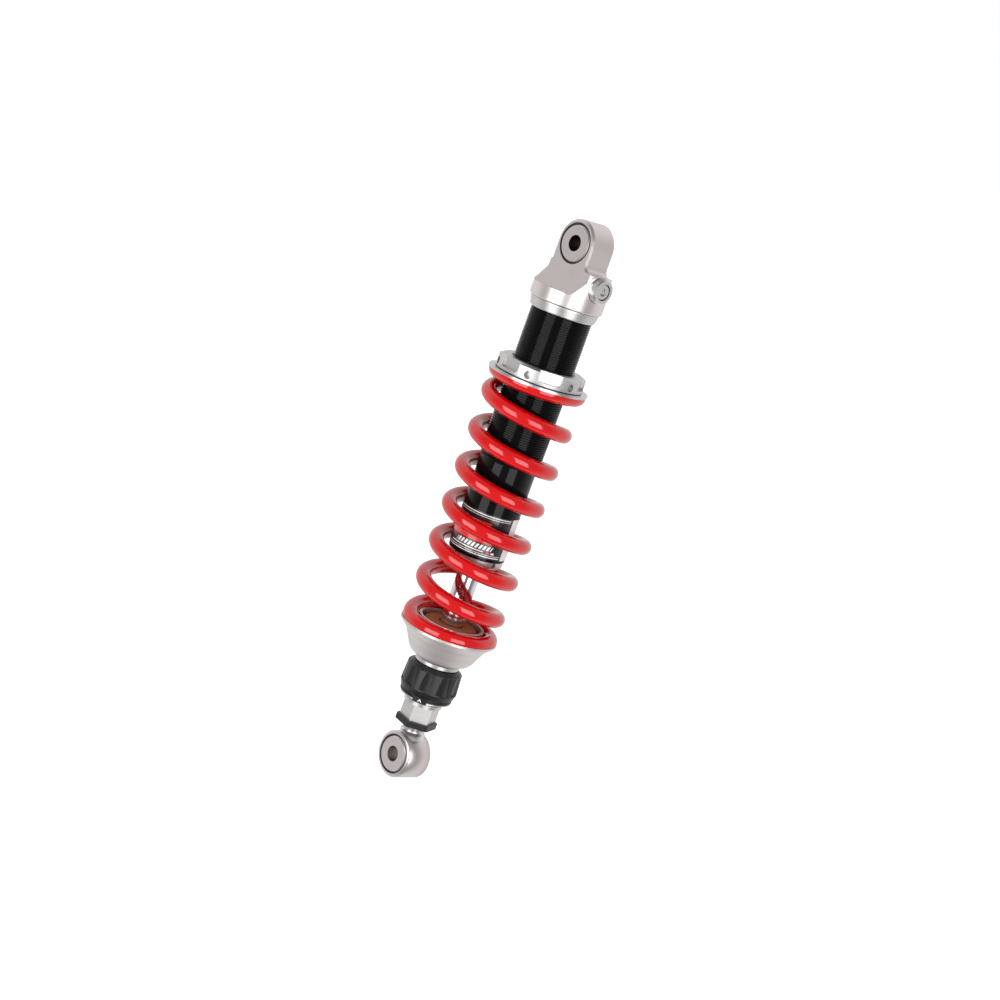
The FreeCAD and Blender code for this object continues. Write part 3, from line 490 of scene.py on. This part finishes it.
def plain_polymer(name, colour, fleck):
    """Filled bearing polymer or matt paint: a mottled, half-matt surface."""
    material, tree, shader, place = start_finish(name)
    used = use(tree, HANDLED, Vector=place, Size=120.0)
    coloured(tree, shader, mix_colours(tree, used["Speck"], shade(colour), shade(fleck)))
    roughened(tree, shader, spread(tree, used["Smudge"], 0.35, 0.55))
    bumped(tree, shader, used["Speck"], strength=0.1, depth_mm=0.04)
    return material


def film_places(tree, place):
    """Millimetres around the film from its middle, and up from its foot."""
    low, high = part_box("barrel_label")
    x, y, z = parts_of(tree, place)
    turned = calc(tree, "SUBTRACT", calc(tree, "ARCTAN2", y, x), math.radians(FILM_MIDDLE_DEGREES))
    along = product(tree, turned, high.x / MM)
    up = product(tree, calc(tree, "SUBTRACT", z, low.z), 1 / MM)
    return along, up


def striped(tree, place, period, share):
    """Stripes that take a share of each period."""
    return calc(tree, "LESS_THAN", calc(tree, "FRACT", calc(tree, "DIVIDE", place, period)), share)


def block(tree, along, up, span, rise):
    """A patch between two places along the film and two heights."""
    return product(tree, between(tree, along, *span), between(tree, up, *rise))


def film_rules(tree, along, up):
    """Double rules at the film's foot and top, one of each pair dotted."""
    plain = [block(tree, along, up, RULE_SPAN, rise) for rise in PLAIN_RULES]
    dots = striped(tree, along, DOT_PERIOD, DOT_SHARE)
    dotted = [product(tree, block(tree, along, up, RULE_SPAN, rise), dots) for rise in DOTTED_RULES]
    return either(tree, *plain, *dotted)


def printed_film(name):
    """Black film with double rules, slanted bands and a light panel: plain shapes only."""
    material, tree, shader, place = start_finish(name, Coat_Weight=0.8, Coat_Roughness=0.08)
    along, up = film_places(tree, place)
    leaning = calc(tree, "ADD", along, product(tree, up, FILM_LEAN))
    bands = [block(tree, leaning, up, span, rise) for span, rise in RED_BANDS]
    red = either(tree, *bands, block(tree, along, up, *RED_BLOCK))
    bars = product(tree, block(tree, leaning, up, BAR_SPAN, BAR_RISE),
                   striped(tree, leaning, BAR_PERIOD, BAR_SHARE))
    blocks = [block(tree, along, up, span, rise) for span, rise in WHITE_BLOCKS]
    panel = calc(tree, "GREATER_THAN", along, PANEL_START)
    white = either(tree, film_rules(tree, along, up), bars, *blocks, panel)
    used = use(tree, HANDLED, Vector=place, Size=90.0)
    black = mix_colours(tree, used["Smudge"], shade((0.008, 0.008, 0.009)), shade((0.020, 0.020, 0.021)))
    inked = mix_colours(tree, red, black, shade((0.86, 0.02, 0.015)))
    coloured(tree, shader, mix_colours(tree, white, inked, shade((0.88, 0.88, 0.88))))
    roughened(tree, shader, spread(tree, used["Smudge"], 0.22, 0.38))
    bumped(tree, shader, either(tree, red, white), strength=0.05, depth_mm=0.02)
    return material


def body_black(name, dark, light, rubbed):
    """Glossy black anodising of the damper body; the thread's crests are rubbed a little lighter."""
    material, tree, shader, place = start_finish(name, Coat_Weight=0.08, Coat_Roughness=0.05,
                                                 Specular_IOR_Level=0.17)
    used = use(tree, HANDLED, Vector=place, Size=70.0)
    x, y, _ = parts_of(tree, place)
    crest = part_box("barrel_tube")[1].x - RUBBED_DEPTH_MM * MM
    on_crest = calc(tree, "GREATER_THAN", from_axis(tree, x, y), crest)
    tone = mix_colours(tree, used["Smudge"], shade(dark), shade(light))
    coloured(tree, shader, mix_colours(tree, product(tree, on_crest, used["Speck"]), tone, shade(rubbed)))
    roughened(tree, shader, spread(tree, used["Smudge"], 0.07, 0.14))
    bumped(tree, shader, used["Speck"], strength=0.02, depth_mm=0.02)
    return material


LOWER_EYE_Z = frame["record"]["mounts"][1]["pos_m"][2]
BOLT_CLEARANCE_MM = 0.1
BOLT_HOLE = (frame["record"]["mounts"][0]["dims"]["r_mm"] + BOLT_CLEARANCE_MM) * MM
SILVER = (0.92, 0.85, 0.845)
# Near-white of the painted highlight along metal edges.
EDGE_HIGHLIGHT_WHITE = (0.93, 0.93, 0.93)
FINISHES = {
    "head": blasted_metal("satin_head", (0.93, 0.86, 0.85), EDGE_HIGHLIGHT_WHITE, 0.36),
    "turned": turned_metal("turned_aluminium", (0.78, 0.76, 0.75), EDGE_HIGHLIGHT_WHITE, 0.34),
    "nut": turned_metal("bright_nut", (0.78, 0.77, 0.765), EDGE_HIGHLIGHT_WHITE, 0.42),
    "cup": turned_metal("satin_cup", (0.87, 0.83, 0.815), EDGE_HIGHLIGHT_WHITE, 0.42, density=2600.0),
    # The eye faces get painted shade in their bolt holes, half as dark in the lower eye's.
    "upper_face": turned_metal("upper_eye_face", SILVER, EDGE_HIGHLIGHT_WHITE, 0.30, eye_height=0.0, hole=BOLT_HOLE),
    "lower_face": turned_metal("lower_eye_face", SILVER, EDGE_HIGHLIGHT_WHITE, 0.30, eye_height=LOWER_EYE_Z,
                               hole=BOLT_HOLE, hole_shade_share=0.5),
    "drum": turned_metal("lower_eye_drum", (0.86, 0.80, 0.795), EDGE_HIGHLIGHT_WHITE, 0.34, eye_height=LOWER_EYE_Z),
    "steel": turned_metal("washer_steel", (0.74, 0.74, 0.75), EDGE_HIGHLIGHT_WHITE, 0.28, density=5000.0),
    "valve": turned_metal("valve_steel", (0.88, 0.88, 0.88), EDGE_HIGHLIGHT_WHITE, 0.26, density=4000.0),
    "bearing": turned_metal("bearing_steel", (0.62, 0.62, 0.63), EDGE_HIGHLIGHT_WHITE, 0.15, density=6000.0),
    "spring_steel": turned_metal("oiled_spring_steel", (0.30, 0.30, 0.31), (0.6, 0.6, 0.6), 0.32),
    "bronze": turned_metal("bushing_bronze", (0.56, 0.40, 0.20), (0.8, 0.65, 0.4), 0.35),
    "body": body_black("body_black", (0.0022, 0.0022, 0.0026), (0.0055, 0.0055, 0.0060),
                       (0.011, 0.011, 0.0115)),
    "knob": black_anodised("knob_black", (0.011, 0.011, 0.012), 0.30, (0.20, 0.20, 0.205)),
    "lock": black_anodised("lock_nut_black", (0.010, 0.010, 0.011), 0.34, (0.13, 0.13, 0.135)),
    "marker": black_anodised("marker_black", (0.008, 0.008, 0.009), 0.40, (0.07, 0.07, 0.07)),
    "red": powder_coat("spring_red", (0.70, 0.0004, 0.002), (0.58, 0.0004, 0.002)),
    "chrome": chrome("rod_chrome", (0.80, 0.80, 0.81), (0.88, 0.88, 0.89)),
    "rubber": rubber("seal_rubber", (0.012, 0.012, 0.013)),
    "foam": foam("stop_foam", (0.360, 0.100, 0.022), (0.520, 0.165, 0.040), (0.140, 0.042, 0.016)),
    "band": plain_polymer("band_polymer", (0.05, 0.09, 0.06), (0.10, 0.16, 0.12)),
    "film": printed_film("body_film"),
    "arrow": plain_polymer("arrow_paint", (0.80, 0.80, 0.80), (0.70, 0.70, 0.70)),
}

NODE_FINISH = {
    "head": ["head_cap"],
    "turned": ["head_lock_ring", "rod_end", "cup_support_ring", "seal_head", "indicator_washer",
               "free_piston"],
    "nut": ["preload_nut"],
    "cup": ["spring_cup"],
    "upper_face": ["upper_front_collar", "upper_back_collar", "upper_outer_race", "upper_ball"],
    "lower_face": ["lower_front_collar", "lower_back_collar", "lower_outer_race", "lower_ball"],
    "drum": ["lower_eye"],
    "steel": ["spring_washer", "clamp_washer", "rebound_stop_washer", "bump_washer", "keeper_ring"],
    "valve": ["gas_valve_body", "gas_valve_screw"],
    "bearing": ["detent_ball"],
    "spring_steel": ["upper_snap_rings", "lower_snap_rings", "rebound_shims", "compression_shims",
                     "metering_needle", "adjuster_pin", "piston_nut", "piston"],
    "bronze": ["rod_bushing"],
    "body": ["barrel_tube"],
    "knob": ["rebound_knob"],
    "lock": ["lock_nut"],
    "marker": ["indicator_ring"],
    "red": ["spring"],
    "chrome": ["piston_rod"],
    "rubber": ["head_ring_seal", "gas_valve_seal", "seal_head_ring", "rod_wiper", "rod_seal",
               "topout_bumper", "upper_back_seal", "upper_front_seal", "lower_back_seal",
               "lower_front_seal", "free_piston_ring"],
    "foam": ["bump_stop"],
    "band": ["piston_band", "free_piston_band"],
    "film": ["barrel_label"],
}


def finish_cad_nodes():
    """Gives each CAD node its finish."""
    for finish, names in NODE_FINISH.items():
        for name in names:
            slots = frame["nodes"][name].data.materials
            slots.clear()
            slots.append(FINISHES[finish])


# ---- pieces made by rule: thread and coil -----------------------------------------------------------
def finish_tree(tree, mesh, given, wanted):
    """The shared end of each tree: weld, make real, give the material."""
    welded = node(tree, "GeometryNodeMergeByDistance", {"Geometry": mesh, "Distance": 1e-6}).outputs[0]
    real = node(tree, "GeometryNodeRealizeInstances", {"Geometry": welded}).outputs[0]
    painted = node(tree, "GeometryNodeSetMaterial", {"Geometry": real, "Material": given["Material"]})
    tree.links.new(painted.outputs[0], wanted["Geometry"])


def placed_at(tree, radius, angle, z):
    """A point from its radius, angle and height."""
    x = product(tree, radius, calc(tree, "COSINE", angle))
    y = product(tree, radius, calc(tree, "SINE", angle))
    return node(tree, "ShaderNodeCombineXYZ", {0: x, 1: y, 2: z}).outputs[0]


def own_place(tree):
    """The x, y and z of each of the mesh's own points."""
    return parts_of(tree, node(tree, "GeometryNodeInputPosition").outputs[0])


def moved(tree, shape, place):
    return node(tree, "GeometryNodeSetPosition", {"Geometry": shape, "Position": place}).outputs[0]


def thread_tree():
    """The skin of a right-hand thread: a sheet wound about the axis, sheared by one pitch a turn."""
    tree, given, wanted = new_group(
        "screw_thread", "GeometryNodeTree",
        [("Low", "NodeSocketFloat", 0.0), ("High", "NodeSocketFloat", 0.1),
         ("Pitch", "NodeSocketFloat", 0.0015), ("Crest Radius", "NodeSocketFloat", 0.02),
         ("Root Radius", "NodeSocketFloat", 0.019), ("Facets", "NodeSocketInt", 96),
         ("Rows", "NodeSocketInt", 100), ("Material", "NodeSocketMaterial", None)],
        [("Geometry", "NodeSocketGeometry")])
    columns = calc(tree, "ADD", given["Facets"], 1.0)
    grid = node(tree, "GeometryNodeMeshGrid", {"Size X": 1.0, "Size Y": 1.0, "Vertices X": columns,
                                               "Vertices Y": given["Rows"]}).outputs[0]
    across, upwards, _ = own_place(tree)
    around = calc(tree, "ADD", across, 0.5)
    steps = product(tree, calc(tree, "ADD", upwards, 0.5), calc(tree, "SUBTRACT", given["Rows"], 1.0))
    row = calc(tree, "ROUND", steps)
    turns = calc(tree, "DIVIDE", row, float(ROWS_PER_PITCH))
    climb = product(tree, calc(tree, "SUBTRACT", calc(tree, "ADD", turns, around), 1.0), given["Pitch"])
    z = held(tree, calc(tree, "ADD", climb, given["Low"]), given["Low"], given["High"])
    radius = calc(tree, "ADD", given["Root Radius"], thread_lift(tree, given, row, z))
    point = placed_at(tree, radius, product(tree, around, TURN), z)
    finish_tree(tree, moved(tree, grid, point), given, wanted)
    return tree


def thread_lift(tree, given, row, z):
    """How far a row stands above the root: crests only, fading out over a pitch at both ends."""
    middle, reach = CREST_ROWS
    on_crest = calc(tree, "COMPARE", calc(tree, "MODULO", row, float(ROWS_PER_PITCH)), middle, reach)
    rise = calc(tree, "DIVIDE", calc(tree, "SUBTRACT", z, given["Low"]), given["Pitch"], clamp=True)
    fall = calc(tree, "DIVIDE", calc(tree, "SUBTRACT", given["High"], z), given["Pitch"], clamp=True)
    depth = calc(tree, "SUBTRACT", given["Crest Radius"], given["Root Radius"])
    return product(tree, on_crest, rise, product(tree, fall, depth))


def coil_path(tree, given, turn):
    """How far the wire has dropped after some turns: gently at both ends, evenly between."""
    ends = given["End Turns"]
    slope = given["End Slope"]
    middle = calc(tree, "SUBTRACT", given["Turns"], product(tree, ends, 2.0))
    height = calc(tree, "SUBTRACT", given["Top"], given["Bottom"])
    open_height = calc(tree, "SUBTRACT", height, product(tree, ends, slope, 2.0))
    pitch = calc(tree, "DIVIDE", open_height, middle)
    first = product(tree, calc(tree, "MINIMUM", turn, ends), slope)
    past = calc(tree, "MAXIMUM", calc(tree, "SUBTRACT", turn, ends), 0.0)
    second = product(tree, calc(tree, "MINIMUM", past, middle), pitch)
    third = product(tree, calc(tree, "MAXIMUM", calc(tree, "SUBTRACT", past, middle), 0.0), slope)
    return calc(tree, "ADD", calc(tree, "ADD", first, second), third)


def coil_tree():
    """A left-hand coil of round wire with closed ends, ground flat at both seats."""
    tree, given, wanted = new_group(
        "coil_spring", "GeometryNodeTree",
        [("Top", "NodeSocketFloat", 0.0), ("Bottom", "NodeSocketFloat", -0.1),
         ("Turns", "NodeSocketFloat", 8.0), ("Coil Radius", "NodeSocketFloat", 0.027),
         ("Wire Radius", "NodeSocketFloat", 0.005), ("End Turns", "NodeSocketFloat", 0.75),
         ("End Slope", "NodeSocketFloat", 0.002), ("Start Angle", "NodeSocketFloat", 0.0),
         ("Material", "NodeSocketMaterial", None)],
        [("Geometry", "NodeSocketGeometry")])
    line = node(tree, "GeometryNodeCurvePrimitiveLine").outputs[0]
    fine = node(tree, "GeometryNodeResampleCurve", {"Curve": line, "Count": COIL_SEGMENTS}).outputs[0]
    share = node(tree, "GeometryNodeSplineParameter").outputs["Factor"]
    turn = product(tree, share, given["Turns"])
    angle = calc(tree, "ADD", product(tree, turn, TURN), given["Start Angle"])
    height = calc(tree, "SUBTRACT", given["Top"], coil_path(tree, given, turn))
    path = moved(tree, fine, placed_at(tree, given["Coil Radius"], angle, height))
    ring = node(tree, "GeometryNodeCurvePrimitiveCircle",
                {"Resolution": WIRE_SEGMENTS, "Radius": given["Wire Radius"]}).outputs[0]
    wire = node(tree, "GeometryNodeCurveToMesh",
                {"Curve": path, "Profile Curve": ring, "Fill Caps": True}).outputs[0]
    x, y, z = own_place(tree)
    seated = held(tree, z, given["Bottom"], given["Top"])
    ground = node(tree, "ShaderNodeCombineXYZ", {0: x, 1: y, 2: seated}).outputs[0]
    finish_tree(tree, moved(tree, wire, ground), given, wanted)
    return tree


def grown(tree, **inputs):
    """Runs a geometry tree once and returns the result as a plain mesh."""
    seed = bpy.data.objects.new("seed", bpy.data.meshes.new("seed"))
    bpy.context.scene.collection.objects.link(seed)
    modifier = seed.modifiers.new("grow", "NODES")
    modifier.node_group = tree
    for item in tree.interface.items_tree:
        key = item.name.lower().replace(" ", "_")
        if item.in_out == "INPUT" and key in inputs:
            modifier[item.identifier] = inputs[key]
    bpy.context.view_layer.update()
    graph = bpy.context.evaluated_depsgraph_get()
    mesh = bpy.data.meshes.new_from_object(seed.evaluated_get(graph))
    bpy.data.objects.remove(seed)
    return mesh


def at_radius(radius, angle, z):
    """A point from its radius, angle and height."""
    return radius * math.cos(angle), radius * math.sin(angle), z


def lathed(outline, facets, closed=True):
    """Turns an outline of (radius, z) points, in metres, into a shell; an open one keeps open ends."""
    shell = bmesh.new()
    rings = []
    for r, z in outline:
        rings.append([shell.verts.new(at_radius(r, TURN * k / facets, z)) for k in range(facets)])
    after = rings[1:] + rings[:1] if closed else rings[1:]
    for low, high in zip(rings, after):
        for k in range(facets):
            n = (k + 1) % facets
            shell.faces.new((low[k], low[n], high[n], high[k]))
    return shell


def piece(name, shell, finish, body, sharp_degrees=35.0):
    """Finishes a mesh: welds it, turns its faces outwards and lets it ride on a body."""
    bmesh.ops.remove_doubles(shell, verts=shell.verts, dist=2e-6)
    bmesh.ops.recalc_face_normals(shell, faces=shell.faces)
    mesh = bpy.data.meshes.new(name)
    shell.to_mesh(mesh)
    shell.free()
    mesh.materials.clear()
    mesh.materials.append(FINISHES[finish])
    mesh.shade_smooth()
    mesh.set_sharp_from_angle(angle=math.radians(sharp_degrees))
    made = bpy.data.objects.new(name, mesh)
    bpy.context.scene.collection.objects.link(made)
    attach(made, body)
    return made


# ---- the pieces ---------------------------------------------------------------------------------------
THREAD = thread_tree()
COIL = coil_tree()


def add_thread(shell, low, high, crest, root, pitch, facets, finish):
    """Adds a helix that starts and ends on plain rings of the root's radius."""
    rows = ROWS_PER_PITCH * (math.ceil((high - low) / pitch) + 2) + 1
    shell.from_mesh(grown(THREAD, low=low, high=high, pitch=pitch, crest_radius=crest, root_radius=root,
                          facets=facets, rows=rows, material=FINISHES[finish]))


def threaded_body():
    """The damper body: smooth below, a real helix above, with its bore inside."""
    low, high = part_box("barrel_tube")
    crest = high.x
    root = crest - THREAD_DEPTH_MM * MM
    smooth = crest - THREAD_STEP_MM * MM
    bore = smooth - BODY_WALL_MM * MM
    bevel = BODY_BEVEL_MM * MM
    start = low.z + SMOOTH_LENGTH_MM * MM
    outline = [(root, start), (smooth, start - THREAD_FOOT_MM * MM), (smooth, low.z + bevel),
               (smooth - bevel, low.z), (bore, low.z), (bore, high.z), (root, high.z)]
    shell = lathed(outline, BODY_FACETS, closed=False)
    add_thread(shell, start, high.z, crest, root, PITCH_MM * MM, BODY_FACETS, "body")
    tube = piece("body_with_thread", shell, "body", "barrel", 25.0)
    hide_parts("barrel_tube")


def threaded_stud():
    """The lower eye as it is, with its stud drawn in to the core and a real helix around it."""
    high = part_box("lower_eye")[1].z
    crest = STUD_MM * MM
    core = crest - THREAD_DEPTH_MM * MM
    low = LOWER_EYE_Z + STUD_START_MM * MM
    shell = bmesh.new()
    shell.from_mesh(frame["nodes"]["lower_eye"].data)
    for vert in shell.verts:
        across = math.hypot(vert.co.x, vert.co.y)
        if vert.co.z > low - NEAR and abs(across - crest) < NEAR:
            vert.co.x *= core / across
            vert.co.y *= core / across
    inner = core - THREAD_DEPTH_MM * MM
    foot = low + NEAR
    top = high - NEAR
    sleeve = lathed([(core, foot), (inner, foot), (inner, top), (core, top)], STUD_FACETS, closed=False)
    add_thread(sleeve, foot, top, crest, core, PITCH_MM * MM, STUD_FACETS, "drum")
    spare = bpy.data.meshes.new("spare")
    sleeve.to_mesh(spare)
    sleeve.free()
    shell.from_mesh(spare)
    bpy.data.meshes.remove(spare)
    eye = piece("eye_with_stud", shell, "drum", "lower_eye", 30.0)
    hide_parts("lower_eye")


def wound_spring():
    """The coil, riding on the spring seat."""
    low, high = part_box("spring")
    shell = bmesh.new()
    shell.from_mesh(grown(COIL, top=high.z, bottom=low.z, turns=COIL_TURNS,
                          coil_radius=high.x - WIRE_MM * MM / 2, wire_radius=WIRE_MM * MM / 2,
                          end_turns=COIL_END_TURNS, end_slope=COIL_END_SLOPE_MM * MM,
                          start_angle=math.radians(COIL_START_DEGREES), material=FINISHES["red"]))
    coil = piece("red_coil", shell, "red", "spring_seat", 40.0)
    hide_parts("spring")
    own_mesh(coil)


def foam_stop():
    """The bump stop: two rounded bulges with a waist, a rolled top edge and a bored middle."""
    low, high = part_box("bump_stop")
    height = high.z - low.z
    wide = high.x
    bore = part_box("piston_rod")[1].x + FOAM_CLEARANCE_MM * MM
    bevel = FOAM_BEVEL_MM * MM
    corner = FOAM_CORNER_SHARE * bevel
    outline = [(bore, low.z), (wide - bevel, low.z)]
    for step in range(1, FOAM_STEPS):
        share = step / FOAM_STEPS
        waist = FOAM_WAIST_MM * MM * math.sin(math.pi * min(1.0, share / FOAM_WAIST_SHARE)) ** 2
        outline.append((wide - waist, low.z + height * FOAM_WALL_SHARE * share))
    outline += [(wide - corner, high.z - bevel), (wide - bevel, high.z - corner),
                (wide - 2 * bevel, high.z), (bore + bevel, high.z), (bore, high.z - bevel)]
    stop = piece("foam_bump_stop", lathed(outline, FOAM_FACETS), "foam", "rod", 60.0)
    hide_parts("bump_stop")
    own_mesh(stop)


def marker_arrow():
    """A small white triangle on the marker's tab, as zero marks have."""
    low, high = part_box("indicator_ring")
    middle = math.radians(ARROW_MIDDLE_DEGREES)
    radius = ARROW_RADIUS_MM * MM
    half = ARROW_HALF_WIDTH_MM / ARROW_RADIUS_MM
    rise = ARROW_HALF_HEIGHT_MM * MM
    base = (low.z + high.z) / 2
    corners = [(-half, -rise), (half, -rise), (0.0, rise)]
    shell = bmesh.new()
    rings = []
    for r in (radius - ARROW_SKIN_MM * MM, radius):
        rings.append([shell.verts.new(at_radius(r, middle + turn, base + up)) for turn, up in corners])
        shell.faces.new(rings[-1])
    near, far = rings
    for k in range(3):
        n = (k + 1) % 3
        shell.faces.new((near[k], near[n], far[n], far[k]))
    piece("marker_arrow", shell, "arrow", "rod")


# ---- studio ----------------------------------------------------------------------------------------------
def camera_axes():
    """Right, up and back of the camera, with its roll."""
    back = (CAMERA_AT - CAMERA_LOOKS_AT).normalized()
    right = (-back).cross(Vector((0, 0, 1))).normalized()
    up = back.cross(right)
    roll = math.radians(CAMERA_ROLL_DEGREES)
    tilted = right * math.cos(roll) + up * math.sin(roll)
    return tilted, back.cross(tilted), back


def matrix_from(right, up, back, at):
    """Stands a camera or a lamp at a place, looking away from its back."""
    rotation = Matrix((right, up, back)).transposed().to_4x4()
    return Matrix.Translation(at) @ rotation


def set_camera():
    """The camera, as high and as turned as the object is best seen."""
    data = bpy.data.cameras.new("studio_camera")
    data.lens = CAMERA_LENS_MM
    data.clip_start, data.clip_end = CAMERA_CLIP
    camera = bpy.data.objects.new("studio_camera", data)
    bpy.context.scene.collection.objects.link(camera)
    camera.matrix_world = matrix_from(*camera_axes(), CAMERA_AT)
    bpy.context.scene.camera = camera


def softbox(name, turn_degrees, rise_degrees, size, power):
    """A rectangular lamp around the object, measured from the camera's side."""
    middle = (cad_box[0] + cad_box[1]) / 2
    level = CAMERA_AT - middle
    a = math.atan2(level.y, level.x) + math.radians(turn_degrees)
    e = math.radians(rise_degrees)
    out = Vector((math.cos(a) * math.cos(e), math.sin(a) * math.cos(e), math.sin(e)))
    data = bpy.data.lights.new(name, "AREA")
    data.shape = "RECTANGLE"
    data.size, data.size_y = size
    data.energy = power
    lamp = bpy.data.objects.new(name, data)
    bpy.context.scene.collection.objects.link(lamp)
    right = Vector((0, 0, 1)).cross(out).normalized()
    lamp.matrix_world = matrix_from(right, out.cross(right), out, middle + out * SOFTBOX_DISTANCE)


def glow(tree, colour, strength):
    return node(tree, "ShaderNodeBackground", {"Color": colour, "Strength": strength}).outputs[0]


def mix_shaders(tree, amount, a, b):
    return node(tree, "ShaderNodeMixShader", {0: amount, 1: a, 2: b}).outputs[0]


def set_surroundings():
    """White all round for the camera; what metals mirror is darker on the camera's side."""
    world = bpy.data.worlds.new("studio")
    world.use_nodes = True
    tree = world.node_tree
    tree.nodes.clear()
    facing = (CAMERA_AT - CAMERA_LOOKS_AT).normalized()
    ray = node(tree, "ShaderNodeTexCoord").outputs["Generated"]
    level = node(tree, "ShaderNodeMapRange", {"Value": likeness(tree, ray, facing),
                                              "From Min": MIRROR_TURNS[0], "From Max": MIRROR_TURNS[1],
                                              "To Min": MIRRORED_BACK, "To Max": MIRRORED_FRONT}).outputs[0]
    rays = node(tree, "ShaderNodeLightPath").outputs
    mirrored = glow(tree, WARM_WHITE, level)
    filling = glow(tree, WARM_WHITE, FILL_LIGHT)
    unseen = mix_shaders(tree, rays["Is Diffuse Ray"], mirrored, filling)
    mixed = mix_shaders(tree, rays["Is Camera Ray"], unseen, glow(tree, WHITE, 1.0))
    node(tree, "ShaderNodeOutputWorld", {"Surface": mixed})
    bpy.context.scene.world = world


def floor_finish():
    """Pale and faintly mottled to the camera; mirrored and bounced light pass through it."""
    material, tree, shader, place = start_finish("pale_floor", Roughness=0.9, Specular_IOR_Level=0.0,
                                                 Emission_Color=WHITE, Emission_Strength=FLOOR_GLOW)
    mottle = noise(tree, place, 2.0, 3.0)
    coloured(tree, shader, mix_colours(tree, mottle, shade((0.83, 0.83, 0.83)), shade((0.86, 0.86, 0.86))))
    clear = node(tree, "ShaderNodeBsdfTransparent").outputs[0]
    by_camera = node(tree, "ShaderNodeLightPath").outputs["Is Camera Ray"]
    mixed = mix_shaders(tree, by_camera, clear, shader.outputs[0])
    tree.links.new(mixed, tree.nodes["Material Output"].inputs["Surface"])
    return material


def set_floor():
    """A wide pale floor under the hanging part."""
    shell = bmesh.new()
    bmesh.ops.create_circle(shell, cap_ends=True, radius=FLOOR_RADIUS, segments=FLOOR_FACETS)
    mesh = bpy.data.meshes.new("floor")
    shell.to_mesh(mesh)
    shell.free()
    for vertex in mesh.vertices:
        vertex.co.z = cad_box[0].z - FLOOR_DROP
    mesh.materials.append(floor_finish())
    floor = bpy.data.objects.new("floor", mesh)
    bpy.context.scene.collection.objects.link(floor)


def set_studio():
    """Camera, lamps, surroundings and floor."""
    set_camera()
    softbox("left_softbox", **LEFT_BOX)
    softbox("right_softbox", **RIGHT_BOX)
    set_surroundings()
    set_floor()
    bpy.context.scene.view_settings.view_transform = "Standard"


finish_cad_nodes()
threaded_body()
threaded_stud()
wound_spring()
foam_stop()
marker_arrow()
set_studio()
